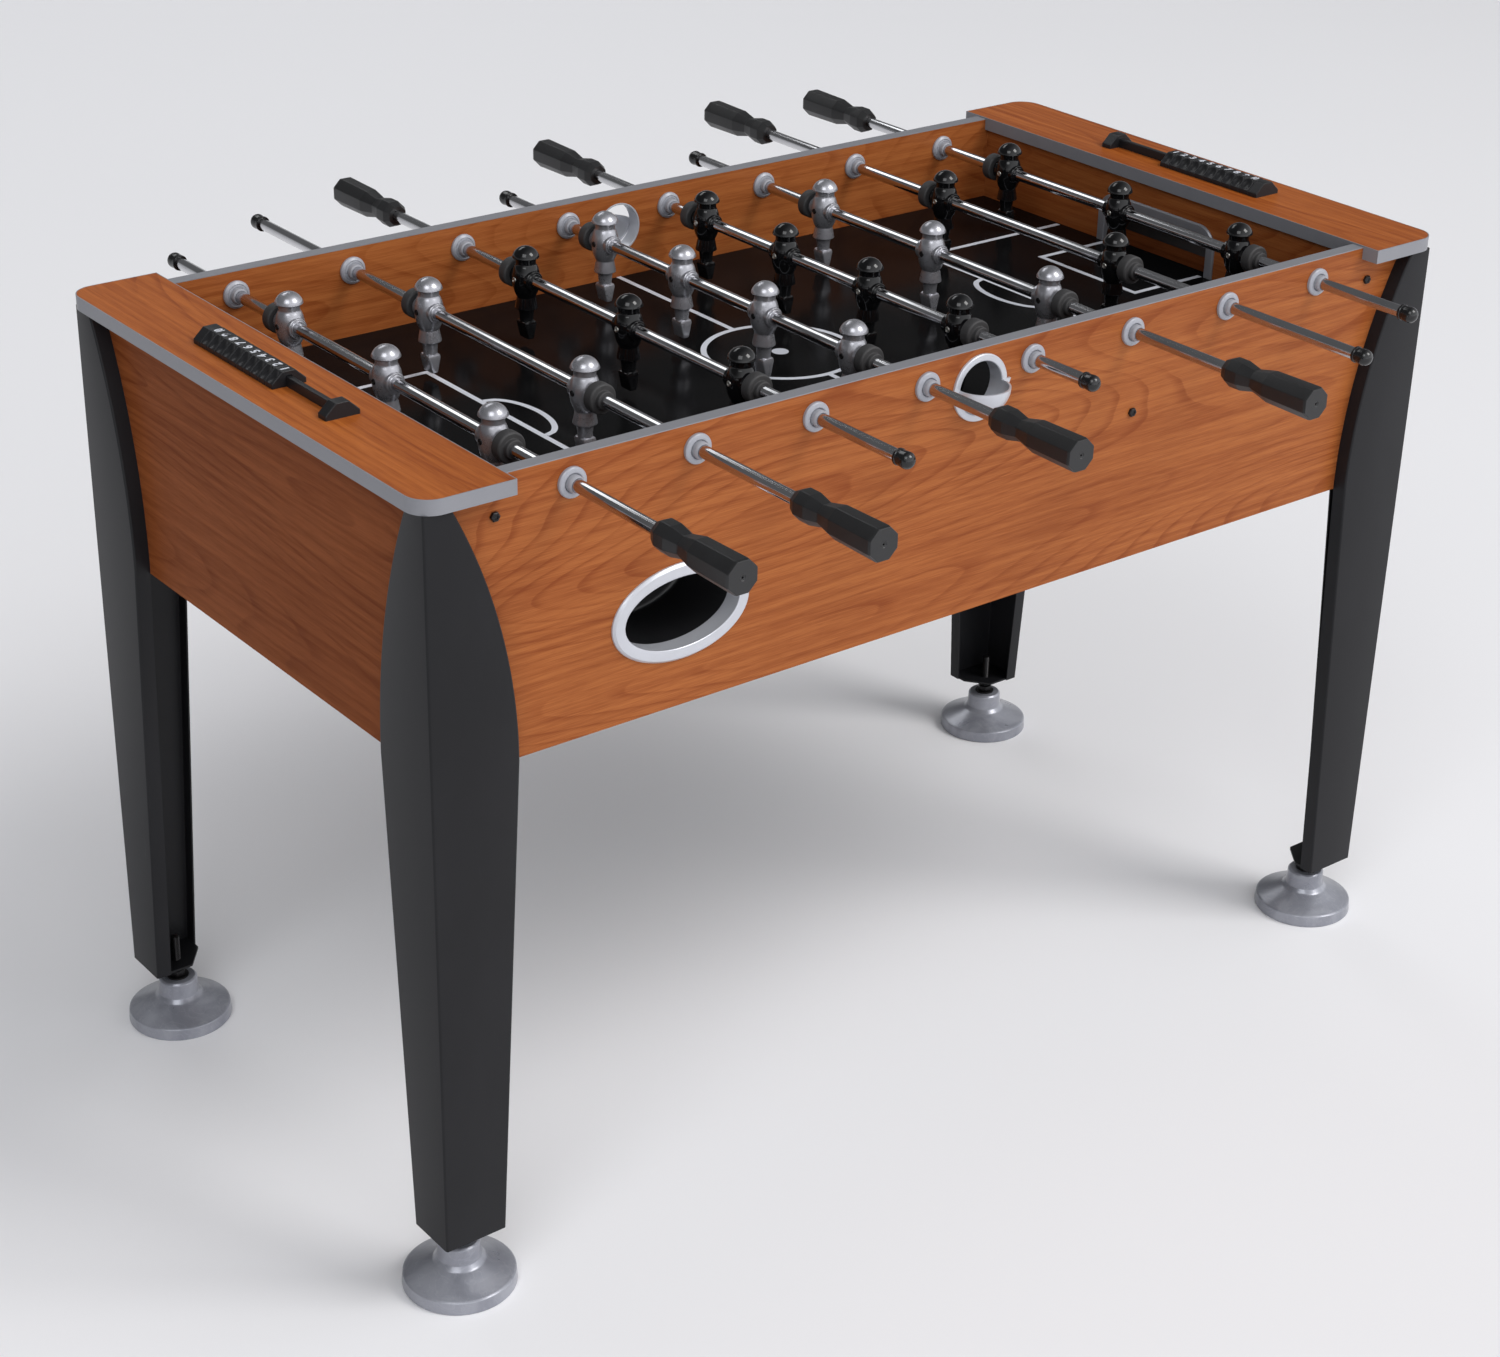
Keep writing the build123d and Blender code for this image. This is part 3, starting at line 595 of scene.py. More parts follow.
class Shell:
    """Grids of points gathered into one closed mesh."""

    def __init__(self) -> None:
        """Starts empty."""
        self.points: list[np.ndarray] = []
        self.quads: list[np.ndarray] = []
        self.count = 0

    def add(self, grid: np.ndarray, ring: bool = False, loop: bool = False) -> "Shell":
        """Adds a grid's points and the quads between them.

        Args:
            grid: (rows, columns, 3) points in millimetres.
            ring: joins the last column to the first.
            loop: joins the last row to the first.

        Returns:
            This shell.
        """
        rows, columns = grid.shape[:2]
        index = self.count + np.arange(rows * columns).reshape(rows, columns)
        if loop:
            index = np.vstack([index, index[:1]])
        if ring:
            index = np.hstack([index, index[:, :1]])
        quads = np.stack([index[:-1, :-1], index[:-1, 1:], index[1:, 1:], index[1:, :-1]], -1)
        self.points.append(grid.reshape(-1, 3))
        self.quads.append(quads.reshape(-1, 4))
        self.count += rows * columns
        return self

    def lid(self, edge: np.ndarray) -> "Shell":
        """Closes a ring of points with a fan to its middle."""
        return self.add(np.stack([edge, np.broadcast_to(edge.mean(0), edge.shape)]), ring=True)

    def capped(self, grid: np.ndarray) -> "Shell":
        """Adds a tube whose columns are joined in a ring, with a lid at each end."""
        return self.add(grid, ring=True).lid(grid[0]).lid(grid[-1])

    def wall(self, outer: np.ndarray, inner: np.ndarray) -> "Shell":
        """Adds the solid between two sheets of the same grid shape."""
        self.add(outer).add(inner)
        for first, second in ((outer[0], inner[0]), (outer[-1], inner[-1]), (outer[:, 0], inner[:, 0]),
                              (outer[:, -1], inner[:, -1])):
            self.add(np.stack([first, second]))
        return self

    def join(self, other: "Shell") -> "Shell":
        """Adds another shell's points and quads."""
        self.points.extend(other.points)
        self.quads.extend(quads + self.count for quads in other.quads)
        self.count += other.count
        return self

    def scaled(self, factors: np.ndarray, shifts: np.ndarray) -> "Shell":
        """Copies everything once for each row: a point times the row's factors, plus its shift."""
        unit = np.concatenate(self.points)
        quads = np.concatenate(self.quads)
        steps = np.arange(len(shifts)) * len(unit)
        copies = Shell()
        copies.points = [(unit[None] * factors[:, None] + shifts[:, None]).reshape(-1, 3)]
        copies.quads = [(quads[None] + steps[:, None, None]).reshape(-1, 4)]
        copies.count = len(unit) * len(shifts)
        return copies

    def repeated(self, places: Iterable[Point], turns: Iterable[float] | None = None) -> "Shell":
        """Copies everything added so far.

        Args:
            places: where each copy's origin goes.
            turns: +1 to leave a copy as it is and -1 to turn it half a turn about Z.

        Returns:
            A new shell that holds the copies.
        """
        shift = np.array(list(places), float)
        turn = np.ones(len(shift)) if turns is None else np.array(list(turns), float)
        return self.scaled(np.stack([turn, turn, np.ones(len(turn))], -1), shift)

    def mirrored(self, signs: Sequence[tuple[int, int]]) -> "Shell":
        """Copies everything once for each pair of signs, which multiply X and Y."""
        factors = np.array([(*pair, 1) for pair in signs], float)
        return self.scaled(factors, np.zeros_like(factors))

    def build(self, name: str, sharp: float = 32.0) -> bpy.types.Object:
        """Makes the mesh object: merges doubles, turns faces outwards, shades smooth up to an angle.

        Args:
            name: the object's name.
            sharp: edges that turn by more than this many degrees stay crisp.

        Returns:
            The object, at the origin, with its place in its mesh.
        """
        mesh = bpy.data.meshes.new(name)
        mesh.from_pydata(np.concatenate(self.points) * MM, [], np.concatenate(self.quads).tolist())
        work = bmesh.new()
        work.from_mesh(mesh)
        bmesh.ops.remove_doubles(work, verts=work.verts, dist=MERGE_MM * MM)
        bmesh.ops.dissolve_degenerate(work, edges=work.edges, dist=MERGE_MM * MM)
        bmesh.ops.recalc_face_normals(work, faces=work.faces)
        work.to_mesh(mesh)
        work.free()
        mesh.polygons.foreach_set("use_smooth", np.ones(len(mesh.polygons), bool))
        mesh.set_sharp_from_angle(angle=math.radians(sharp))
        made = bpy.data.objects.new(name, mesh)
        bpy.context.scene.collection.objects.link(made)
        return made


@dataclass(frozen=True)
class Extent:
    """Lowest and highest corner of a CAD node, in millimetres."""

    low: np.ndarray
    high: np.ndarray

    @classmethod
    def of(cls, node: str) -> "Extent":
        """Reads a node's box from the frame."""
        low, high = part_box(node)
        return cls(np.array(low) / MM, np.array(high) / MM)

    @property
    def centre(self) -> np.ndarray:
        """Middle of the box."""
        return (self.low + self.high) / 2

    @property
    def size(self) -> np.ndarray:
        """Length of the box along each axis."""
        return self.high - self.low


def settle(piece: bpy.types.Object, paint: bpy.types.Material, body: str, slot: str, *nodes: str) -> None:
    """Dresses a new piece, ties it to its body and hides the CAD nodes that it stands for.

    Args:
        piece: the mesh object.
        paint: its material.
        body: the CAD body that it moves with.
        slot: the record's material slot; not used.
        nodes: CAD nodes that it replaces.
    """
    piece.data.materials.append(paint)
    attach(piece, body)
    if nodes:
        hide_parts(*nodes)
    LOG.info("%s: %d faces, on %s", piece.name, len(piece.data.polygons), body)


# ---------------------------------------------------------------- cabinet
@dataclass
class Cabinet:
    """Woodwork, banding and field boards, which keep their CAD shapes."""

    finishes: Finishes

    def dress(self) -> None:
        """Gives each carried-over CAD node its finish."""
        plan = {
            "side_panels": "side_cherry", "end_panels": "end_cherry", "end_boards": "board_cherry",
            "goal_walls": "wall_cherry", "edge_banding": "banding", "playfield": "field_sheet",
            "underfield_bars_and_ramps": "raw_board",
        }
        for node, finish in plan.items():
            for slot in frame["nodes"][node].material_slots:
                slot.material = self.finishes[finish]
            LOG.info("%s dressed in %s", node, finish)


@dataclass
class FieldMarkings:
    """White lines printed on the playing surface."""

    finishes: Finishes
    line: float = 6.3
    thickness: float = 0.15
    box_x: float = 344.0
    box_half_y: float = 160.0
    goal_box_x: float = 455.0
    goal_box_half_y: float = 78.0
    arc_half_y: float = 57.0
    arc_reach: float = 30.0
    circle_radius: float = 82.3
    spot_radius: float = 9.3

    def ribbon(self, shell: Shell, path: np.ndarray, lift: float) -> None:
        """Adds a line along a path: two edges half a line each side of it, and a thickness.

        Args:
            shell: receives the line.
            path: (x, y) points.
            lift: how far the top stands above the field.
        """
        heading = np.gradient(path, axis=0)
        normal = np.stack([-heading[:, 1], heading[:, 0]], -1)
        normal /= np.linalg.norm(normal, axis=1)[:, None]
        edges = np.stack([path - normal * self.line / 2, path + normal * self.line / 2], 1)
        level = Extent.of("playfield").high[2]
        top = np.concatenate([edges, np.full((*edges.shape[:2], 1), level + lift)], -1)
        under = top - np.array([0.0, 0.0, lift + 0.05])
        shell.wall(top, under)

    def build(self) -> None:
        """Builds the lines of both halves, the centre line, circle and spot."""
        shell = Shell()
        wall_x = Extent.of("goal_frames").high[0] - 15.0
        side_y = Extent.of("goal_walls").high[1]
        for side in (-1, 1):
            for x, half_y in ((self.box_x, self.box_half_y), (self.goal_box_x, self.goal_box_half_y)):
                corners = np.array([(wall_x, -half_y), (x, -half_y), (x, half_y), (wall_x, half_y)])
                self.bracket(shell, corners * side, 0.15)
            sweep = np.linspace(-1.0, 1.0, 33)
            reach = self.arc_reach * np.sqrt(np.clip(1 - sweep ** 2, 0, 1))
            bow = np.stack([self.box_x - self.line / 2 - reach, sweep * self.arc_half_y], -1)
            self.ribbon(shell, bow * side, 0.17)
            middle = np.array([(0.0, self.circle_radius * side), (0.0, side_y * side)])
            self.ribbon(shell, middle, 0.15)
        self.disc(shell, self.circle_radius - self.line / 2, self.circle_radius + self.line / 2, 0.19)
        self.disc(shell, 0.0, self.spot_radius, 0.15)
        lines = shell.build("field_lines")
        settle(lines, self.finishes["white_print"], "cabinet", "silver_plastic")

    def bracket(self, shell: Shell, corners: np.ndarray, lift: float) -> None:
        """Adds a three-sided box line with square corners, as one mitred strip."""
        x_sign = np.sign(corners[0, 0])
        half = self.line / 2
        shifts = np.array([(0.0, 1.0), (x_sign, 1.0), (x_sign, -1.0), (0.0, -1.0)]) * half
        shifts[:, 1] *= -np.sign(corners[0, 1])
        inner = corners + shifts
        outer = corners - shifts
        level = Extent.of("playfield").high[2]
        edges = np.stack([outer, inner], 1)
        top = np.concatenate([edges, np.full((*edges.shape[:2], 1), level + lift)], -1)
        shell.wall(top, top - np.array([0.0, 0.0, lift + 0.05]))

    def disc(self, shell: Shell, inner: float, outer: float, lift: float) -> None:
        """Adds a flat ring, or a full spot where inner is 0."""
        level = Extent.of("playfield").high[2]
        profile = np.array([(inner, level - 0.05), (outer, level - 0.05), (outer, level + lift),
                            (inner, level + lift)])
        shell.add(turned(profile, segments=96), ring=True, loop=inner > 0)


# ---------------------------------------------------------------- goals, returns and cups
@dataclass
class GoalFrames:
    """Grey arches round the goal mouths, with sleeves through the goal walls."""

    finishes: Finishes
    bar: float = 12.0
    corner: float = 26.0
    sleeve_wall: float = 1.5
    wall_thickness: float = 12.0
    face_thickness: float = 3.0
    bevel: float = 1.6
    panel_thickness: float = 15.0
    # Size and height of the black sheets that paint shade inside the goal mouths.
    liner_half_y: float = 290.0
    liner_z: tuple[float, float] = (762.0, 845.0)

    def arch(self, half: float, height: float, section: np.ndarray, steps: int = 12) -> np.ndarray:
        """Section carried up one side, round two corners and down the other.

        Args:
            half: half width of the line that offset 0 follows.
            height: its height.
            section: (outward offset, depth along -X) points.
            steps: spans along each corner.

        Returns:
            Grid of (path points, section points, 3), standing on Z 0.
        """
        radius = self.corner
        angle = np.concatenate([np.linspace(math.pi, math.pi / 2, steps),
                                np.linspace(math.pi / 2, 0, steps)])
        normal = np.stack([np.cos(angle), np.sin(angle)], -1)
        middle = np.where(np.arange(2 * steps)[:, None] < steps, -1, 1) * np.array([half - radius, 0.0])
        path = middle + np.array([0.0, height - radius]) + radius * normal
        path = np.vstack([[(-half, 0.0)], path, [(half, 0.0)]])
        normal = np.vstack([[(-1.0, 0.0)], normal, [(1.0, 0.0)]])
        flat = path[:, None] + normal[:, None] * section[None, :, 0, None]
        depth = np.broadcast_to(section[None, :, 1], flat.shape[:2])
        return np.concatenate([-depth[..., None], flat], -1)

    def build(self) -> None:
        """Builds both arches and sleeves as one piece."""
        box = Extent.of("goal_frames")
        field_z = box.low[2]
        half = box.high[1]
        height = box.size[2]
        wall_face = Extent.of("goal_walls").low[0] + self.wall_thickness
        face = rounded([(0, 0, 0.2), (0, -self.face_thickness + self.bevel, 0.5),
                        (-self.bevel, -self.face_thickness, 0.6),
                        (-self.bar + 0.9, -self.face_thickness, 0.5),
                        (-self.bar, -self.face_thickness + 0.9, 0.4),
                        (-self.bar, 0, 0.1)], closed=True, steps=3)
        sleeve = np.array([(-self.bar, 0.0), (-self.bar + self.sleeve_wall, 0.0),
                           (-self.bar + self.sleeve_wall, self.wall_thickness),
                           (-self.bar, self.wall_thickness)])
        shell = Shell()
        for section in (face, sleeve):
            shell.capped(self.arch(half, height, section))
        both = shell.repeated([(wall_face, 0.0, field_z), (-wall_face, 0.0, field_z)], (1, -1))
        settle(both.build("goal_frame_arches", 28.0), self.finishes["goal_grey"], "cabinet", "goal_grey",
               "goal_frames")
        # Black sheets behind the goal mouths, as painted shade.
        self.build_liners()

    def build_liners(self) -> None:
        """Thin black sheets on the end panels' inner faces, seen through the goal mouths: painted shade
        that makes the goals dark inside.
        """
        inner_x = Extent.of("end_panels").high[0] - self.panel_thickness
        low, high = self.liner_z
        half = self.liner_half_y
        outline = np.array([(-half, low), (half, low), (half, high), (-half, high)])
        sheet = Shell().capped(prism(outline, inner_x - 1.0, inner_x - 0.05, Axis.X))
        shade_sheets = sheet.repeated([(0.0, 0.0, 0.0)] * 2, (1, -1)).build("goal_painted_shade_sheets")
        settle(shade_sheets, self.finishes["dark_liner"], "cabinet", "field_black")


@dataclass
class BallReturns:
    """Oval silver rings with black trays behind them."""

    finishes: Finishes
    lip: float = 10.0
    inset: float = 3.5
    thickness: float = 4.0
    sleeve: float = 15.0
    tray_wall: float = 2.5
    tray_depth: float = 89.0
    half_x: float = 70.0
    half_z: float = 40.0

    def build(self) -> None:
        """Builds the rings as one piece and the trays as another."""
        box = Extent.of("ball_returns")
        panel_y = Extent.of("side_panels").low[1]
        centre = (box.low[0] + self.half_x + self.lip, 0.0, box.centre[2])
        face = -self.thickness
        ring = rounded([(-self.inset, 0.0, 0.1), (-self.inset, face + 0.5, 0.3),
                        (-self.inset + 0.6, face, 0.3),
                        (self.lip - 2.8, face, 0.4), (self.lip - 0.3, -1.5, 0.5), (self.lip, 0.0, 0.1)],
                       closed=True, steps=3)
        sleeve = np.array([(-self.inset, 0.0), (0.0, 0.0), (0.0, self.sleeve), (-self.inset, self.sleeve)])
        wall = self.tray_wall
        tray = rounded([(0.0, self.sleeve, 0.1), (0.0, self.tray_depth, 6.0),
                        (-self.half_z, self.tray_depth, 0.0)], steps=4)
        tray_inner = rounded([(-self.half_z, self.tray_depth - wall, 0.0),
                              (-wall, self.tray_depth - wall, 5.0),
                              (-wall, self.sleeve, 0.1)], steps=4)
        places = [(0.0, panel_y, 0.0), (0.0, -panel_y, 0.0)]
        rings = Shell()
        for section in (ring, sleeve):
            rings.add(oval(section, self.half_x, self.half_z, centre), ring=True, loop=True)
        trays = Shell()
        outline = np.vstack([tray, tray_inner])
        trays.add(self.tray_grid(outline, centre), ring=True, loop=True)
        settle(rings.repeated(places, (1, -1)).build("ball_return_rings", 40.0),
               self.finishes["silver_cup"],
               "cabinet", "silver_plastic")
        settle(trays.repeated(places, (1, -1)).build("ball_return_trays", 40.0),
               self.finishes["dark_liner"],
               "cabinet", "field_black", "ball_returns")

    def tray_grid(self, outline: np.ndarray, centre: Point, segments: int = 72) -> np.ndarray:
        """Tray section round the oval, whose back closes on the oval's middle.

        The offset u shrinks both half axes in proportion, so that u = -half_z lands on the middle.

        Args:
            outline: (offset, depth) points.
            centre: oval's centre.
            segments: points round the oval.

        Returns:
            Grid of (section points, segments, 3).
        """
        angle = np.linspace(0.0, 2 * math.pi, segments, endpoint=False)
        share = 1.0 + outline[:, 0, None] / self.half_z
        depth = outline[:, 1, None] + 0.0 * angle
        grid = np.stack([self.half_x * share * np.cos(angle), depth, self.half_z * share * np.sin(angle)],
                        -1)
        return grid + np.array(centre)


@dataclass
class ServeCups:
    """Silver serving holes: plate, tunnel and a half bowl with two ears."""

    finishes: Finishes
    plate_radius: float = 35.0
    tunnel_radius: float = 27.5
    wall: float = 2.0
    plate_thickness: float = 3.0
    rim_rise: float = 3.0
    ear_reach: float = 39.0

    def build(self) -> None:
        """Builds both cups as one piece."""
        box = Extent.of("serve_cups")
        panels = Extent.of("side_panels")
        inner_y = Extent.of("goal_walls").low[1]
        depth = inner_y - panels.low[1]
        centre_z = box.low[2] + self.plate_radius
        front = -self.plate_thickness
        rim_z = self.rim_rise
        radius = self.tunnel_radius
        plate = rounded([(radius, front + 0.8, 0.8), (radius + 0.9, front, 0.8),
                         (self.plate_radius - 0.9, front, 0.8),
                         (self.plate_radius, front + 0.9, 0.8), (self.plate_radius, 0.0, 0.0),
                         (radius + self.wall, 0.0, 0.0), (radius + self.wall, depth, 0.4),
                         (radius, depth, 0.4)],
                        closed=True, steps=3)
        shell = Shell().add(turned(plate, Axis.Y, (0, 0, 0), 64), ring=True, loop=True)
        outer = self.bowl(radius + self.wall, front, rim_z)
        inner = self.bowl(radius, front, rim_z)
        shell.wall(outer, inner)
        for side in (-1, 1):
            ear = np.array([(side * (radius - 0.5), rim_z), (side * self.ear_reach, rim_z),
                            (side * self.plate_radius * 0.93, -radius * 0.5),
                            (side * (radius + 1.0), -radius * 0.5)])
            shell.capped(prism(ear, front - 0.25, -0.4, Axis.Y))
        places = [(0.0, panels.low[1], centre_z), (0.0, -panels.low[1], centre_z)]
        settle(shell.repeated(places, (1, -1)).build("serve_cup_mouldings", 38.0),
               self.finishes["silver_cup"],
               "cabinet", "silver_plastic", "serve_cups")

    def bowl(self, radius: float, front: float, rim_z: float) -> np.ndarray:
        """Quarter sphere in front of the plate and below the rim.

        With a from the left end of the rim round to the right and b down from the rim:
        (-r cos a cos b, -r sin a cos b, -r sin b).

        Args:
            radius: sphere's radius.
            front: Y of the plate's face.
            rim_z: height of the rim above the tunnel's axis.

        Returns:
            Grid of points.
        """
        a, b = np.meshgrid(np.linspace(0, math.pi, 41), np.linspace(0, math.pi / 2, 19), indexing="ij")
        grid = np.stack([-np.cos(a) * np.cos(b), -np.sin(a) * np.cos(b), -np.sin(b)], -1) * radius
        return grid + np.array([0.0, front, rim_z])


# ---------------------------------------------------------------- bearings and screws
@dataclass
class Bearings:
    """Flanged bearing housings in the side panels, and the bushes that turn with the rods."""

    finishes: Finishes
    barrel_radius: float = 11.0
    flange_radius: float = 15.0
    bush_radius: float = 8.5
    clearance: float = 0.05

    def build(self, rods: int) -> None:
        """Builds the housings as one piece and each rod's pair of bushes as another."""
        outer_y = Extent.of("side_panels").high[1]
        inner_y = Extent.of("goal_walls").high[1]
        flange = Extent.of("bearing_housings").high[1] - outer_y
        bore = self.bush_radius + self.clearance
        barrel = rounded([(bore, inner_y - flange, 0.3), (self.barrel_radius, inner_y - flange, 0.6),
                          (self.barrel_radius, outer_y, 0.0), (self.flange_radius, outer_y, 0.1),
                          (self.flange_radius, outer_y + 0.6 * flange, 0.7),
                          (self.flange_radius - 1.0, outer_y + 0.85 * flange, 0.8),
                          (self.barrel_radius - 0.5, outer_y + flange, 0.8),
                          (bore + 1.3, outer_y + flange, 0.6), (bore, outer_y + flange - 1.5, 0.4)],
                         closed=True, steps=3)
        lock = rounded([(self.barrel_radius + 0.05, inner_y - flange + 0.3, 0.4),
                        (self.barrel_radius + 0.05, inner_y, 0.0), (self.flange_radius, inner_y, 0.1),
                        (self.flange_radius, inner_y - 0.5 * flange, 1.3),
                        (self.barrel_radius + 1.2, inner_y - flange, 0.9)], closed=True, steps=3)
        unit = Shell()
        for profile in (barrel, lock):
            unit.add(turned(profile, Axis.Y, segments=36), ring=True, loop=True)
        places, turns = [], []
        for number in range(1, rods + 1):
            centre = Extent.of(f"rod_{number}").centre
            for turn in (1, -1):
                places.append((centre[0], 0.0, centre[2]))
                turns.append(turn)
        settle(unit.repeated(places, turns).build("bearing_flanges", 35.0), self.finishes["bearing_grey"],
               "cabinet", "bearing_grey", "bearing_housings")
        for number in range(1, rods + 1):
            self.build_bushes(number)

    def build_bushes(self, number: int) -> None:
        """Builds one rod's two bushes: rounded ends, a small step and the bore."""
        box = Extent.of(f"bushes_{number}")
        rod = Extent.of(f"rod_{number}")
        stand_out = box.high[1] - Extent.of("side_panels").high[1]
        start = Extent.of("goal_walls").high[1] - stand_out
        end = box.high[1]
        bore = rod.size[0] / 2 + self.clearance
        profile = rounded([(bore, start, 0.3), (self.bush_radius - 0.9, start, 0.5),
                           (self.bush_radius, start + 1.1, 0.6),
                           (self.bush_radius, end - 2.6, 0.6), (self.bush_radius - 1.3, end, 0.9),
                           (bore + 0.5, end, 0.3), (bore, end - 0.5, 0.3)], closed=True, steps=3)
        unit = Shell().add(turned(profile, Axis.Y, segments=32), ring=True, loop=True)
        place = (rod.centre[0], 0.0, rod.centre[2])
        both = unit.repeated([place, place], (1, -1))
        settle(both.build(f"sliding_bushes_{number}", 35.0), self.finishes["bush_grey"], f"bushes_{number}",
               "bearing_grey", f"bushes_{number}")


@dataclass
class PanelBolts:
    """Black hexagon bolts through the side panels."""

    finishes: Finishes
    across_corners: float = 5.0
    head_height: float = 3.5
    shank_radius: float = 3.0
    shank_length: float = 45.0
    bar_x: float = 218.0

    def build(self) -> None:
        """Builds the eight bolts as one piece."""
        box = Extent.of("cabinet_bolts")
        panel_y = Extent.of("side_panels").low[1]
        head = rounded([(0.0, -self.head_height + 0.9, 0.0), (2.1, -self.head_height + 0.9, 0.0),
                        (2.5, -self.head_height, 0.3), (self.across_corners - 1.0, -self.head_height, 0.4),
                        (self.across_corners, -self.head_height + 0.8, 0.3),
                        (self.across_corners, 0.0, 0.0),
                        (0.0, 0.0, 0.0)], steps=2)
        shank = np.array([(0.0, -0.5), (self.shank_radius, -0.5), (self.shank_radius, self.shank_length),
                          (0.0, self.shank_length)])
        unit = Shell().add(turned(head, Axis.Y, segments=6), ring=True)
        unit.add(turned(shank, Axis.Y, segments=16), ring=True)
        flat = self.across_corners * math.cos(math.pi / 6)
        high = (box.high[0] - self.across_corners, box.high[2] - flat)
        low = (self.bar_x, box.low[2] + flat)
        places, turns = [], []
        for x, z in (high, low):
            for side_x in (-1, 1):
                for turn in (1, -1):
                    places.append((side_x * x, turn * panel_y, z))
                    turns.append(turn)
        settle(unit.repeated(places, turns).build("hexagon_bolts", 25.0), self.finishes["screw_black"],
               "cabinet",
               "black_screw", "cabinet_bolts")


# ---------------------------------------------------------------- rods and players
@dataclass
class Player:
    """One moulded man, drawn about the rod axis."""

    head_top: float = 35.0
    head_lip: float = 24.0
    head_radius: float = 14.7
    neck_radius: float = 11.0
    neck_bottom: float = 16.0
    body_radius: float = 15.2
    body_bottom: float = -19.5
    skirt_bottom: float = -33.5
    foot_top: float = -49.0
    foot_tip: float = -67.0
    boss_half: float = 16.5
    half_length: float = 18.0
    rod_radius: float = 6.4

    def crown(self) -> np.ndarray:
        """Head from its top down to the lip: height falls with the radius share's square."""
        share = np.linspace(0.0, 1.0, 11) ** 0.8
        rise = self.head_top - self.head_lip
        ball = (self.head_radius ** 2 + rise ** 2) / (2 * rise)
        radius = (self.head_radius - 0.25) * share
        return np.stack([radius, self.head_top - ball + np.sqrt(ball ** 2 - radius ** 2)], -1)

    def torso(self) -> np.ndarray:
        """Egg-shaped body: half an ellipse above the axis and half of a longer one below it."""
        top_share = math.sqrt(1 - (self.neck_radius / self.body_radius) ** 2)
        low_share = math.sqrt(1 - (10.4 / self.body_radius) ** 2)
        upper = np.linspace(math.asin(top_share), 0.0, 10)
        lower = np.linspace(0.0, -math.asin(low_share), 11)[1:]
        high = np.stack([self.body_radius * np.cos(upper), self.neck_bottom / top_share * np.sin(upper)],
                        -1)
        low = np.stack([self.body_radius * np.cos(lower), -self.body_bottom / low_share * np.sin(lower)],
                       -1)
        return np.vstack([high, low])

    def shell(self) -> Shell:
        """Whole man: turned figure, stepped bosses along the rod and a wedge foot.

        Returns:
            Closed shells in one group.
        """
        lip = rounded([(self.head_radius - 0.25, self.head_lip + 0.1, 0.0),
                       (self.head_radius, self.head_lip - 0.5, 0.4),
                       (self.head_radius - 0.5, self.head_lip - 1.2, 0.4),
                       (self.neck_radius + 0.3, self.head_lip - 1.5, 0.6),
                       (self.neck_radius, self.head_lip - 2.5, 0.6),
                       (self.neck_radius, self.neck_bottom + 0.9, 0.0)],
                      steps=3)
        skirt = rounded([(10.2, self.body_bottom - 0.3, 0.0), (10.1, self.body_bottom - 1.2, 0.5),
                         (12.4, self.skirt_bottom + 0.7, 0.8), (11.7, self.skirt_bottom, 0.6),
                         (8.9, self.skirt_bottom + 0.1, 0.5), (8.5, self.skirt_bottom - 1.0, 0.6),
                         (7.4, -43.0, 3.0),
                         (7.3, self.foot_top - 0.5, 0.0), (0.0, self.foot_top - 0.5, 0.0)], steps=3)
        profile = np.vstack([self.crown(), lip, self.torso(), skirt])
        figure = Shell().add(turned(profile, Axis.Z, segments=36), ring=True)
        boss = rounded([(self.rod_radius, -self.half_length, 0.1), (8.0, -self.half_length, 0.4),
                        (8.6, -self.half_length + 0.7, 0.3), (8.6, -self.boss_half - 0.1, 0.2),
                        (10.0, -self.boss_half, 0.4), (10.6, -self.boss_half + 0.8, 0.5), (10.6, 0.0, 0.0)],
                       steps=3)
        both = np.vstack([boss, (boss * np.array([1, -1]))[::-1]])
        figure.add(turned(both, Axis.Y, segments=32), ring=True, loop=True)
        self.add_foot(figure)
        return figure

    def add_foot(self, figure: Shell) -> None:
        """Wedge foot: rounded rectangles that narrow along X from the top, and a rounded tip.

        Args:
            figure: receives the foot.
        """
        heights = np.array([self.foot_top + 3.2, self.foot_top + 1.4, self.foot_top - 1.0, -54.0, -60.0,
                            self.foot_tip + 1.8, self.foot_tip + 0.5, self.foot_tip])
        depth = np.array([9.0, 14.2, 15.2, 13.2, 10.4, 7.8, 6.8, 4.6])
        width = np.array([11.0, 16.4, 18.0, 18.0, 18.0, 17.8, 16.8, 14.6])
        corner = rounded([(-0.5, -0.5, 0.13), (0.5, -0.5, 0.13), (0.5, 0.5, 0.13), (-0.5, 0.5, 0.13)],
                         closed=True, steps=4)
        grid = np.stack([depth[:, None] * corner[:, 0], width[:, None] * corner[:, 1],
                         heights[:, None] + 0.0 * corner[:, 0]], -1)
        figure.capped(grid)

    def screw(self) -> Shell:
        """Button-head screw on the man's -X side, with a socket sunk in its head."""
        face = -self.body_radius
        profile = rounded([(0.0, face - 0.15, 0.0), (1.5, face - 0.15, 0.0), (1.7, face - 0.75, 0.2),
                           (2.4, face - 0.85, 0.4), (3.2, face - 0.25, 0.5), (3.2, face + 1.6, 0.0),
                           (0.0, face + 1.6, 0.0)], steps=3)
        return Shell().add(turned(profile, Axis.X, segments=20), ring=True)


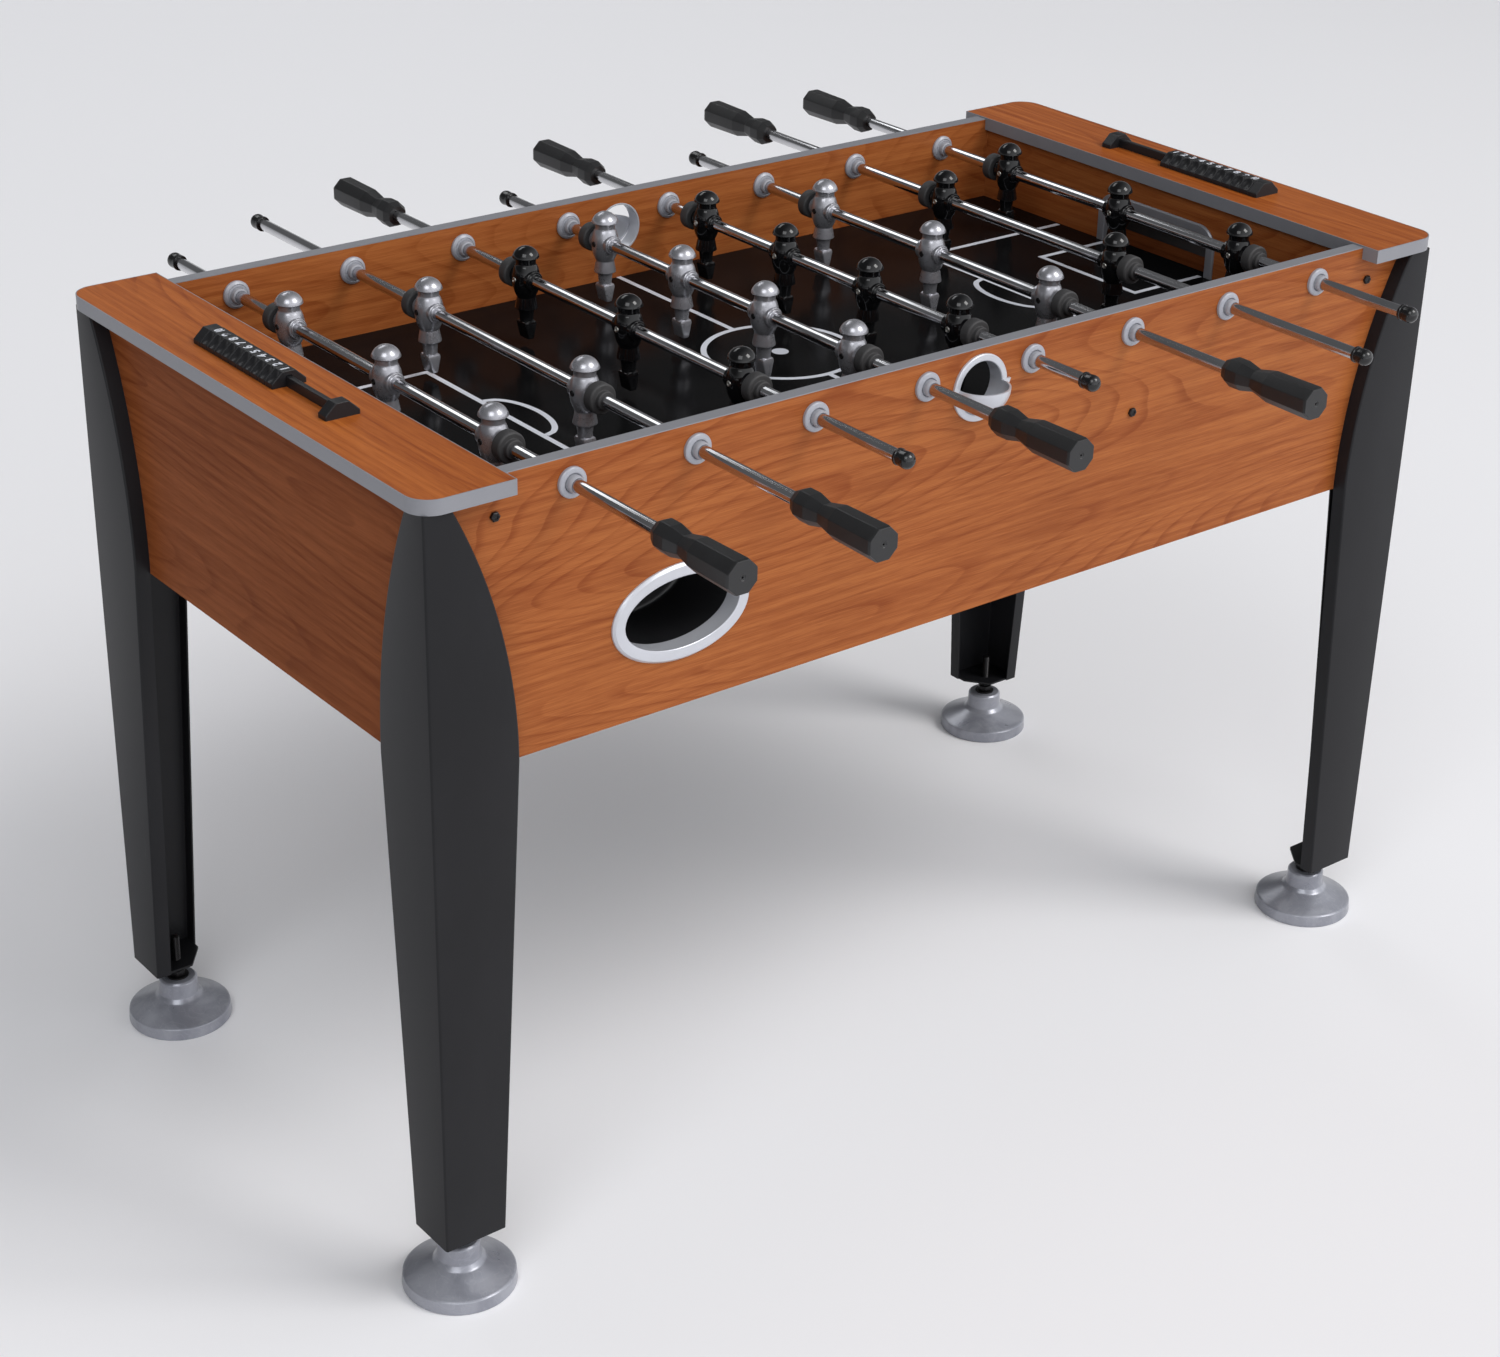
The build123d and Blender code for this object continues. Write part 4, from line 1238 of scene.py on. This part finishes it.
@dataclass
class Grip:
    """Octagonal handle: collar, waist, flare, long flats and a dimpled end."""

    radius: float = 17.2
    collar_radius: float = 15.5
    waist_radius: float = 11.8
    bore_radius: float = 6.4
    bore_depth: float = 92.0

    def shell(self, length: float) -> Shell:
        """Handle along +Y from its rod end at 0.

        Each ring is a mix of a circle and an octagon with softened corners, scaled by the profile.

        Args:
            length: overall length.

        Returns:
            One closed shell.
        """
        collar, waist, grip = self.collar_radius, self.waist_radius, self.radius
        outer = rounded([(0.74 * collar, 0.0, 0.5), (collar, 0.07 * length, 1.0),
                         (collar, 0.19 * length, 1.2),
                         (waist, 0.33 * length, 2.2), (0.95 * grip, 0.50 * length, 2.5),
                         (grip, 0.975 * length, 0.8),
                         (0.955 * grip, length, 0.5), (3.2, length, 0.3)], steps=3)
        bore = np.array([(0.0, self.bore_depth), (self.bore_radius, self.bore_depth),
                         (self.bore_radius, 0.5),
                         (self.bore_radius + 0.4, 0.0)])
        dimple = np.array([(2.6, length - 0.5), (1.1, length - 0.8), (0.9, length - 3.0),
                           (0.0, length - 3.0)])
        profile = np.vstack([bore, outer, dimple])
        facet = np.concatenate([np.zeros(len(bore)), np.ones(len(outer) - 1), np.zeros(len(dimple) + 1)])
        corner = math.pi / 8 + np.arange(8) * math.pi / 4
        octagon = rounded([(math.cos(a), math.sin(a), 0.10) for a in corner], closed=True, steps=4)
        ring = octagon / np.linalg.norm(octagon, axis=1)[:, None]
        shape = facet[:, None, None] * octagon + (1 - facet)[:, None, None] * ring
        flat = profile[:, 0, None, None] * shape
        height = np.broadcast_to(profile[:, 1, None], flat.shape[:2])
        return Shell().add(np.stack([flat[..., 0], height, flat[..., 1]], -1), ring=True)


@dataclass
class PlayerRod:
    """One rod with its men, grip, bumpers and end cap."""

    number: int
    men: int
    silver: bool
    finishes: Finishes
    player: Player = field(default_factory=Player)
    grip: Grip = field(default_factory=Grip)
    bumper_length: float = 13.0
    hub_length: float = 5.0
    cap_length: float = 20.0
    cap_radius: float = 8.5
    cap_dome: float = 8.0
    cap_bore: float = 15.0

    def build(self) -> None:
        """Builds every piece of the rod and ties it to the rod's sliding body."""
        body = f"rod_{self.number}"
        rod = Extent.of(body)
        men = Extent.of(f"men_{self.number}")
        handle = Extent.of(f"handle_{self.number}")
        rubbers = Extent.of(f"bumpers_and_cap_{self.number}")
        x, _, z = rod.centre
        turn = 1.0 if handle.centre[1] > 0 else -1.0
        bar = rounded([(0.0, rod.low[1], 0.0), (rod.size[0] / 2, rod.low[1], 0.8),
                       (rod.size[0] / 2, rod.high[1], 0.8),
                       (0.0, rod.high[1], 0.0)], steps=3)
        steel = Shell().add(turned(bar, Axis.Y, (x, 0, z), 32), ring=True)
        settle(steel.build(f"rod_bar_{self.number}", 20.0), self.finishes["rod_chrome"], body, "chrome",
               body)

        outer = men.size[1] / 2 - self.player.half_length
        places = [(x, men.centre[1] + y, z) for y in np.linspace(-outer, outer, self.men)]
        colour, slot = ("silver_man", "silver_men") if self.silver else ("black_man", "black_men")
        players = self.player.shell().repeated(places).build(f"players_{self.number}", 36.0)
        settle(players, self.finishes[colour], body, slot, f"men_{self.number}")
        screws = self.player.screw().repeated(places).build(f"player_screws_{self.number}")
        screw_finish, screw_slot = ("screw_black", "black_screw") if self.silver else ("zinc", "chrome")
        settle(screws, self.finishes[screw_finish], body, screw_slot)

        start = handle.low[1] if turn > 0 else handle.high[1]
        grip = self.grip.shell(handle.size[1]).repeated([(x, start, z)], [turn])
        settle(grip.build(f"grip_{self.number}", 9.0), self.finishes["grip_black"], body, "grip_black",
               f"handle_{self.number}")

        bumpers = self.bumper().repeated([(x, men.high[1], z), (x, men.low[1], z)], (1, -1))
        settle(bumpers.build(f"bumper_rubbers_{self.number}", 34.0), self.finishes["rubber"], body,
               "rubber",
               f"bumpers_and_cap_{self.number}")
        free_end = rubbers.low[1] if turn > 0 else rubbers.high[1]
        cap = self.cap().repeated([(x, free_end + turn * self.cap_length, z)], [-turn])
        settle(cap.build(f"rod_end_cap_{self.number}", 34.0), self.finishes["cap_black"], body, "rubber")

    def bumper(self) -> Shell:
        """Rubber disc with a narrower hub, along +Y from the man's side."""
        bore = self.player.rod_radius
        length, hub = self.bumper_length, self.hub_length
        bumper = rounded([(bore, 0.0, 0.1), (14.0, 0.0, 0.6), (15.5, 1.4, 1.2), (15.5, length - 1.6, 1.4),
                          (14.2, length, 1.0), (9.8, length, 0.8), (9.5, length + 0.8, 0.5),
                          (9.5, length + hub - 0.8, 0.6),
                          (8.8, length + hub, 0.5), (bore, length + hub, 0.1)], closed=True, steps=3)
        return Shell().add(turned(bumper, Axis.Y, segments=40), ring=True, loop=True)

    def cap(self) -> Shell:
        """Plug over the rod's free end: a collar, a barrel and a domed tip, along +Y."""
        bore, radius, tall = self.player.rod_radius, self.cap_radius, self.cap_length
        waist = radius - 0.6
        collar = rounded([(bore, self.cap_bore, 0.0), (bore, 0.0, 0.2), (radius - 0.3, 0.0, 0.5),
                          (radius, 0.8, 0.4), (radius, 2.6, 0.3), (waist, 3.4, 0.4), (waist, 6.0, 1.0),
                          (radius, tall - self.cap_dome, 0.0)], steps=3)
        angle = np.linspace(0.0, math.pi / 2, 12)[1:]
        dome = np.stack([radius * np.cos(angle), tall - self.cap_dome * (1.0 - np.sin(angle))], -1)
        profile = np.vstack([[(0.0, self.cap_bore)], collar, dome])
        return Shell().add(turned(profile, Axis.Y, segments=32), ring=True)


# ---------------------------------------------------------------- legs and feet
@dataclass
class Legs:
    """Pressed-steel corner legs: two arched faces with turned-in edges and a gusset for the stud."""

    finishes: Finishes
    sheet: float = 1.8
    proud: float = 17.0
    bend: float = 2.6
    top_width: float = 30.0
    knee_long: float = 95.0
    knee_short: float = 88.5
    foot_long: float = 69.0
    foot_short: float = 58.5
    knee_rise: float = 7.0
    gusset: float = 2.5
    stud_inset: float = 35.5

    def width(self, height: np.ndarray, knee_z: float, top_z: float, low_z: float, knee: float,
              foot: float) -> np.ndarray:
        """Face width at each height.

        Above the knee the edge is an arc that is upright at the knee: with h from the knee and R the
        radius through the top point, width = knee - R + root(R^2 - h^2). Below, it tapers straight.

        Args:
            height: heights.
            knee_z: height of the widest point.
            top_z: height of the leg's top.
            low_z: height of its lower end.
            knee: width at the knee.
            foot: width at the lower end.

        Returns:
            Widths.
        """
        rise = top_z - knee_z
        bulge = knee - self.top_width
        radius = (bulge ** 2 + rise ** 2) / (2 * bulge)
        above = np.clip(height - knee_z, 0.0, rise)
        arched = knee - radius + np.sqrt(radius ** 2 - above ** 2)
        tapered = knee + (foot - knee) * (knee_z - height) / (knee_z - low_z)
        return np.where(height > knee_z, arched, tapered)

    def skin(self, height: np.ndarray, long: np.ndarray, short: np.ndarray, inset: float) -> np.ndarray:
        """Section at each height, drawn in by inset: edge, long face, corner, short face, edge.

        Corners are quarter circles about points one bend radius inside both faces.

        Args:
            height: heights.
            long: long face's width at each height.
            short: short face's width at each height.
            inset: distance in from the outer skin.

        Returns:
            Grid of (heights, section points, 3) in the leg's own frame, corner at the origin.
        """
        radius = self.bend - inset
        quarter = np.linspace(0.0, math.pi / 2, 6)
        zero = np.zeros_like(height)
        start = [np.stack([long - inset, zero + self.proud], -1)[:, None]]
        hubs = ((long - self.bend, zero + self.bend, 0.0),
                (zero + self.bend, zero + self.bend, -math.pi / 2),
                (zero + self.bend, short - self.bend, -math.pi))
        for hub_u, hub_v, turn in hubs:
            angle = turn - quarter
            hub = np.stack([hub_u, hub_v], -1)[:, None]
            start.append(hub + radius * np.stack([np.cos(angle), np.sin(angle)], -1)[None])
        start.append(np.stack([zero + self.proud, short - inset], -1)[:, None])
        flat = np.concatenate(start, 1)
        level = np.broadcast_to(height[:, None, None], (*flat.shape[:2], 1))
        return np.concatenate([flat, level], -1)

    def build(self) -> None:
        """Builds the four pressings and their gussets."""
        box = Extent.of("legs")
        top_z, low_z = box.high[2], box.low[2]
        knee_z = Extent.of("side_panels").low[2] + self.knee_rise
        height = np.concatenate([np.linspace(low_z, knee_z, 10), np.linspace(knee_z, top_z, 34)[1:]])
        long = self.width(height, knee_z, top_z, low_z, self.knee_long, self.foot_long)
        short = self.width(height, knee_z, top_z, low_z, self.knee_short, self.foot_short)
        unit = Shell().wall(self.skin(height, long, short, 0.0), self.skin(height, long, short, self.sheet))
        self.add_gusset(unit, low_z)
        corner = np.array([box.low[0], box.low[1], 0.0])
        four = unit.repeated([corner]).mirrored([(1, 1), (-1, 1), (1, -1), (-1, -1)])
        settle(four.build("pressed_legs", 15.0), self.finishes["steel_black"], "cabinet", "black_steel",
               "legs")

    def add_gusset(self, unit: Shell, low_z: float) -> None:
        """Adds the plate that the stud goes through.

        Args:
            unit: receives the plate.
            low_z: height of the leg's lower end.
        """
        edge = self.sheet + 0.02
        long = self.foot_long - edge
        short = self.foot_short - edge
        cut = self.stud_inset
        plate = rounded([(edge, edge, 0.0), (long, edge, 0.0), (long, cut - 8.0, 4.0),
                         (cut + 9.0, short, 4.0),
                         (edge, short, 0.0)], closed=True, steps=4)
        grid = prism(plate, low_z + 0.2, low_z + self.gusset + 0.2)
        unit.capped(grid)


@dataclass
class Feet:
    """Adjustable feet: pearl plastic discs on threaded studs."""

    finishes: Finishes
    lip_height: float = 14.5
    cone_radius: float = 24.0
    cone_top: float = 31.0
    neck_radius: float = 21.8
    neck_top: float = 52.0
    stud_radius: float = 5.0
    pitch: float = 1.5

    def build(self) -> None:
        """Builds the four feet and their studs."""
        for name in ("near_left", "near_right", "far_left", "far_right"):
            body = f"leveller_{name}"
            box = Extent.of(body)
            rim = box.size[0] / 2
            centre = (box.centre[0], box.centre[1], 0.0)
            profile = rounded([(0.0, 0.0, 0.0), (rim - 1.2, 0.0, 0.0), (rim, 1.6, 1.0),
                               (rim - 1.0, self.lip_height - 0.6, 1.3),
                               (rim - 3.0, self.lip_height + 0.7, 1.2), (40.0, 21.6, 30.0),
                               (self.cone_radius + 2.6, self.cone_top - 3.0, 8.0),
                               (self.cone_radius, self.cone_top, 1.6),
                               (self.neck_radius + 0.8, self.cone_top + 1.6, 1.0),
                               (self.neck_radius, 40.0, 3.0),
                               (self.neck_radius - 0.4, self.neck_top - 2.2, 2.2),
                               (self.neck_radius - 2.6, self.neck_top, 1.5),
                               (9.0, self.neck_top, 0.5), (8.6, self.neck_top - 1.2, 0.5),
                               (0.0, self.neck_top - 1.2, 0.0)],
                              steps=5)
            disc = Shell().add(turned(profile, Axis.Z, centre, 96), ring=True).build(f"foot_disc_{name}",
                                                                                     40.0)
            settle(disc, self.finishes["foot_pearl"], body, "foot_grey", body)
            stud = self.stud(centre, box.high[2])
            settle(stud.build(f"foot_stud_{name}", 50.0), self.finishes["screw_black"], body, "black_screw")

    def stud(self, centre: Point, top: float) -> Shell:
        """Threaded stud with a nut and washer on the neck.

        The thread's radius is the stud's less a triangle wave of (height / pitch - angle / full turn).

        Args:
            centre: point on the axis at the floor.
            top: height of the stud's tip.

        Returns:
            Closed shells.
        """
        low = self.neck_top - 1.0
        height = np.arange(low, top - 0.6, self.pitch / 4)[:, None]
        angle = np.linspace(0.0, 2 * math.pi, 16, endpoint=False)[None]
        phase = (height / self.pitch - angle / (2 * math.pi)) % 1.0
        radius = self.stud_radius - 1.4 * np.abs(phase - 0.5)
        grid = np.stack([radius * np.cos(angle), radius * np.sin(angle), height + 0.0 * angle], -1)
        tip = grid[-1] * np.array([0.7, 0.7, 0.0]) + np.array([0.0, 0.0, top])
        grid = np.concatenate([grid, tip[None]]) + np.array(centre)
        washer = rounded([(5.2, self.neck_top + 0.05, 0.0), (12.5, self.neck_top + 0.05, 0.3),
                          (12.5, self.neck_top + 1.8, 0.3), (5.2, self.neck_top + 1.8, 0.0)], closed=True,
                         steps=2)
        nut = rounded([(5.1, self.neck_top + 2.0, 0.0), (8.6, self.neck_top + 2.0, 0.3),
                       (9.2, self.neck_top + 2.8, 0.3),
                       (9.2, self.neck_top + 8.2, 0.3), (8.6, self.neck_top + 9.0, 0.3),
                       (5.1, self.neck_top + 9.0, 0.0)], closed=True, steps=2)
        shell = Shell().capped(grid)
        shell.add(turned(washer, Axis.Z, centre, 32), ring=True, loop=True)
        return shell.add(turned(nut, Axis.Z, centre, 6), ring=True, loop=True)


# ---------------------------------------------------------------- scorers
@dataclass
class Scorers:
    """Counting beads on a rail, at both ends of the table."""

    finishes: Finishes
    beads: int = 10
    pitch: float = 14.0
    gap: float = 0.3
    skirt: float = 4.5
    top_width: float = 14.0
    base_width: float = 36.5
    rail_width: float = 6.0
    rail_height: float = 10.0
    dimple_depth: float = 1.9
    numeral_size: float = 12.5
    numeral_thickness: float = 0.12

    def outer_path(self, height: float) -> np.ndarray:
        """Six-sided section over the top, with points spread along the sloping faces."""
        half, top = self.base_width / 2, self.top_width / 2
        slope = np.linspace(0.12, 0.88, 11)
        left = [(-half + (half - top) * s, self.skirt + (height - self.skirt) * s, 0.0) for s in slope]
        right = [(-u, v, 0.0) for u, v, _ in reversed(left)]
        corners = [(-half, 0.0, 0.0), (-half, self.skirt, 0.9), *left, (-top, height, 0.8),
                   (top, height, 0.8), *right,
                   (half, self.skirt, 0.9), (half, 0.0, 0.0)]
        path = rounded(corners, steps=2)
        keep = np.append(True, np.linalg.norm(np.diff(path, axis=0), axis=1) > 0.02)
        return path[keep]

    def block(self, length: float, height: float, scoop: bool) -> Shell:
        """One bead with the rail's slot through it, or one solid end block, along Y from 0.

        A scoop is an oval hollow on each sloping face: its depth falls with the square of the distance
        from the oval's middle, as a share of its half axes.

        Args:
            length: length along Y.
            height: height of its flat top.
            scoop: makes a bead, whose sloping faces are hollowed.

        Returns:
            One closed shell.
        """
        path = self.outer_path(height)
        rows = np.concatenate([[0.0, 0.35], np.linspace(0.9, length - 0.9, 13), [length - 0.35, length]])
        draw = np.interp(rows, [0.0, 0.35, 0.9, length - 0.9, length - 0.35, length],
                         [0.55, 0.2, 0.0, 0.0, 0.2, 0.55])
        side, rise = path[None, :, 0], path[None, :, 1]
        u = side - np.sign(side) * draw[:, None] * (np.abs(side) > 0.1)
        v = rise - draw[:, None] * (rise > height / 4)
        y = np.broadcast_to(rows[:, None], u.shape)
        if scoop:
            run = np.array([(self.base_width - self.top_width) / 2, height - self.skirt])
            slope_length = np.linalg.norm(run)
            middle = np.array([(self.base_width + self.top_width) / 4, (height + self.skirt) / 2])
            along = ((np.abs(u) - middle[0]) * -run[0] + (v - middle[1]) * run[1]) / slope_length
            share = (along / (0.47 * slope_length)) ** 2 + ((y - length / 2) / (0.42 * length)) ** 2
            depth = self.dimple_depth * np.clip(1 - share, 0.0, 1.0)
            u = u - np.sign(u) * depth * run[1] / slope_length
            v = v - depth * run[0] / slope_length
        outer = np.stack([u, y, v], -1)
        if not scoop:
            return Shell().capped(outer)
        slot = self.rail_width / 2 + 0.4
        fold = np.interp(np.linspace(0, 1, len(path)), [0, 0.42, 0.58, 1], [0, 1, 2, 3])
        inner_u = np.interp(fold, [0, 1, 2, 3], [-slot, -slot, slot, slot])
        inner_v = np.interp(fold, [0, 1, 2, 3], [0.0, self.rail_height + 0.4, self.rail_height + 0.4, 0.0])
        inner = np.stack([np.broadcast_to(inner_u, u.shape), y, np.broadcast_to(inner_v, u.shape)], -1)
        return Shell().wall(outer, inner)

    def build(self) -> None:
        """Builds the rails, the beads and their numerals."""
        rails = Extent.of("scorer_rails")
        x = rails.high[0] - self.base_width / 2
        base_z, height = rails.low[2], rails.size[2]
        half = rails.high[1]
        rail = Shell()
        corner = rounded([(-self.rail_width / 2, 0.0, 0.0), (self.rail_width / 2, 0.0, 0.0),
                          (self.rail_width / 2, self.rail_height, 0.9),
                          (-self.rail_width / 2, self.rail_height, 0.9)],
                         closed=True, steps=3)
        rail.capped(prism(corner, -half + 2.0, half - 2.0, Axis.Y))
        end = self.block(self.pitch, height, False)
        ends = end.repeated([(0.0, -half, 0.0), (0.0, half, 0.0)], (1, -1))
        both = rail.join(ends).repeated([(-x, 0.0, base_z), (x, 0.0, base_z)], (1, -1))
        settle(both.build("scorer_rail_bars", 20.0), self.finishes["scorer_black"], "cabinet",
               "scorer_black", "scorer_rails")
        self.build_end_screws(x, half, base_z + height)
        for side, name in ((-1, "left"), (1, "right")):
            node = f"scorer_beads_{name}"
            box = Extent.of(node)
            first = box.low[1] if side < 0 else box.high[1]
            steps = [first - side * self.pitch * i for i in range(self.beads)]
            unit = self.block(self.pitch - self.gap, box.size[2] - self.numeral_thickness, True)
            beads = unit.repeated([(box.centre[0], y, box.low[2]) for y in steps], [-side] * self.beads)
            body = self.body_of(node)
            settle(beads.build(f"scorer_bead_set_{name}", 20.0), self.finishes["scorer_black"], body,
                   "scorer_black", node)
            self.build_numerals(name, side, steps, box, body)

    def body_of(self, node: str) -> str:
        """Body that a CAD node rides on."""
        return frame["nodes"][node]["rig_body"]

    def build_end_screws(self, x: float, half: float, top: float) -> None:
        """Countersunk screws in the four end blocks."""
        profile = rounded([(0.0, -0.25, 0.0), (0.8, -0.25, 0.0), (1.0, 0.1, 0.1), (2.3, 0.2, 0.2),
                           (2.6, -0.2, 0.2),
                           (1.2, -2.0, 0.0), (0.0, -2.0, 0.0)], steps=2)
        unit = Shell().add(turned(profile, Axis.Z, segments=20), ring=True)
        inset = self.pitch / 2
        places = [(sx * x, sy * (half - inset), top - 0.3) for sx in (-1, 1) for sy in (-1, 1)]
        settle(unit.repeated(places).build("scorer_screws"), self.finishes["screw_black"], "cabinet",
               "black_screw")

    def build_numerals(self, name: str, side: int, steps: Sequence[float], box: Extent, body: str) -> None:
        """White numbers on the beads' tops, 1 at the gap, their heads towards the table's end.

        Args:
            name: left or right.
            side: -1 for the left end, +1 for the right.
            steps: Y of each bead's first edge, from the gap on.
            box: box of the beads.
            body: body that they ride on.
        """
        work = bmesh.new()
        for index, y in enumerate(steps):
            text = bpy.data.curves.new(f"numeral_{name}_{index + 1}", "FONT")
            text.body = str(index + 1)
            text.size = self.numeral_size
            text.align_x = "CENTER"
            text.align_y = "CENTER"
            text.extrude = self.numeral_thickness
            text.offset = 0.34
            text.space_character = 0.86
            holder = bpy.data.objects.new(text.name, text)
            bpy.context.scene.collection.objects.link(holder)
            graph = bpy.context.evaluated_depsgraph_get()
            shape = bpy.data.meshes.new_from_object(holder.evaluated_get(graph))
            narrow = 0.72 if index + 1 == self.beads else 1.12
            upright = Matrix(((0, side, 0), (-side * narrow, 0, 0), (0, 0, 1))).to_4x4()
            place = Vector((box.centre[0], y - side * (self.pitch - self.gap) / 2,
                            box.high[2] - self.numeral_thickness)) * MM
            shape.transform(Matrix.Translation(place) @ Matrix.Scale(MM, 4) @ upright)
            work.from_mesh(shape)
            bpy.data.objects.remove(holder)
            bpy.data.meshes.remove(shape)
        bmesh.ops.remove_doubles(work, verts=work.verts, dist=MERGE_MM * MM)
        bmesh.ops.recalc_face_normals(work, faces=work.faces)
        mesh = bpy.data.meshes.new(f"scorer_numbers_{name}")
        work.to_mesh(mesh)
        work.free()
        numbers = bpy.data.objects.new(mesh.name, mesh)
        bpy.context.scene.collection.objects.link(numbers)
        settle(numbers, self.finishes["white_print"], body, "scorer_black")


# ---------------------------------------------------------------- studio
@dataclass(frozen=True)
class Softbox:
    """Rectangular studio light aimed at a point."""

    name: str
    place: Point
    aim: Point
    width: float
    height: float
    power: float
    colour: Colour = (1.0, 1.0, 1.0)

    def build(self) -> None:
        """Adds the light."""
        light = bpy.data.lights.new(self.name, "AREA")
        light.shape = "RECTANGLE"
        light.size = self.width
        light.size_y = self.height
        light.energy = self.power
        light.color = self.colour
        lamp = bpy.data.objects.new(self.name, light)
        lamp.location = self.place
        lamp.rotation_euler = (Vector(self.aim) - Vector(self.place)).to_track_quat("-Z", "Y").to_euler()
        bpy.context.scene.collection.objects.link(lamp)


@dataclass
class Studio:
    """Pale floor, soft lights, a fill that is brighter in front than behind, and the camera."""

    floor_radius: float = 16.0
    floor_colour: Colour = (0.86, 0.855, 0.875)
    fill_behind: float = 0.13
    fill_in_front: float = 1.5
    fill_near_floor: float = 0.45
    lens: float = 67.887
    sensor: float = 36.0
    eye: Point = (-1.80072, -2.23268, 1.81178)
    right: Point = (0.7900369, -0.6126907, 0.0212560)
    up: Point = (0.2602777, 0.3666049, 0.8932281)
    lights: tuple[Softbox, ...] = (
        Softbox("key", (4.6, -6.4, 8.8), (0.0, 0.0, 0.4), 4.6, 4.6, 560.0, (1.0, 0.985, 0.965)),
        Softbox("front_left", (-4.9, -3.8, 7.2), (0.0, 0.0, 0.4), 4.4, 4.4, 200.0, (0.97, 0.985, 1.0)),
        Softbox("back_top", (1.0, 6.6, 6.6), (1.4, 4.6, 0.0), 5.0, 2.6, 95.0, (0.97, 0.985, 1.0)),
    )

    def build(self) -> None:
        """Builds floor, lights, world and camera."""
        floor = Shell().capped(turned(np.array([(self.floor_radius / MM, -20.0),
                                                (self.floor_radius / MM, 0.0)]),
                                      segments=96)).build("studio_floor")
        paint = Paint("studio_paper")
        cloud = paint.noise(paint.spot(), 0.6, 2.0)
        darker = tuple(share * 0.985 for share in self.floor_colour)
        floor.data.materials.append(paint.finish(base_color=paint.mix(cloud, darker, self.floor_colour),
                                                 roughness=0.62, specular=0.25))
        for light in self.lights:
            light.build()
        self.build_world()
        self.build_camera()
        bpy.context.scene.view_settings.view_transform = "Standard"

    def build_world(self) -> None:
        """Fill light that grows smoothly with the direction's lean towards the front right."""
        world = bpy.data.worlds.new("studio")
        bpy.context.scene.world = world
        graph = Graph(world)
        x, y, z = graph.components(graph.node("ShaderNodeTexCoord"))
        lean = x * 0.3 - y * 0.85 - z * 0.1
        sweep = z.smooth(0.03, 0.24, self.fill_near_floor, 0.0)
        strength = lean.smooth(-0.35, 0.9, self.fill_behind, self.fill_in_front) + sweep
        glow = graph.node("ShaderNodeBackground", None,
                          {"Color": (0.96, 0.975, 1.0, 1.0), "Strength": strength})
        graph.node("ShaderNodeOutputWorld", None, {"Surface": glow}, None)

    def build_camera(self) -> None:
        """Camera above the near left corner, looking down the table."""
        lens = bpy.data.cameras.new("camera")
        lens.sensor_fit = "HORIZONTAL"
        lens.sensor_width = self.sensor
        lens.lens = self.lens
        camera = bpy.data.objects.new("camera", lens)
        right, up = Vector(self.right), Vector(self.up)
        turn = Matrix((right, up, right.cross(up))).transposed().to_4x4()
        camera.matrix_world = Matrix.Translation(self.eye) @ turn
        bpy.context.scene.collection.objects.link(camera)
        bpy.context.scene.camera = camera


# ---------------------------------------------------------------- the whole table
@dataclass
class FoosballTable:
    """Every sub-assembly of the table, in the order in which it is built."""

    finishes: Finishes = field(default_factory=Finishes)
    men: tuple[int, ...] = (3, 2, 3, 4, 4, 3, 2, 3)
    silver_rods: tuple[int, ...] = (1, 2, 4, 6)

    def build(self) -> None:
        """Dresses the cabinet and builds all the fittings."""
        Cabinet(self.finishes).dress()
        for kind in (FieldMarkings, GoalFrames, BallReturns, ServeCups, PanelBolts, Legs, Feet, Scorers):
            kind(self.finishes).build()
        Bearings(self.finishes).build(len(self.men))
        for index, men in enumerate(self.men):
            number = index + 1
            PlayerRod(number, men, number in self.silver_rods, self.finishes).build()


def main() -> None:
    """Builds the studio and the table."""
    logging.basicConfig(level=logging.INFO, format="%(name)s: %(message)s")
    Studio().build()
    FoosballTable().build()


if __name__ == "__main__":
    main()
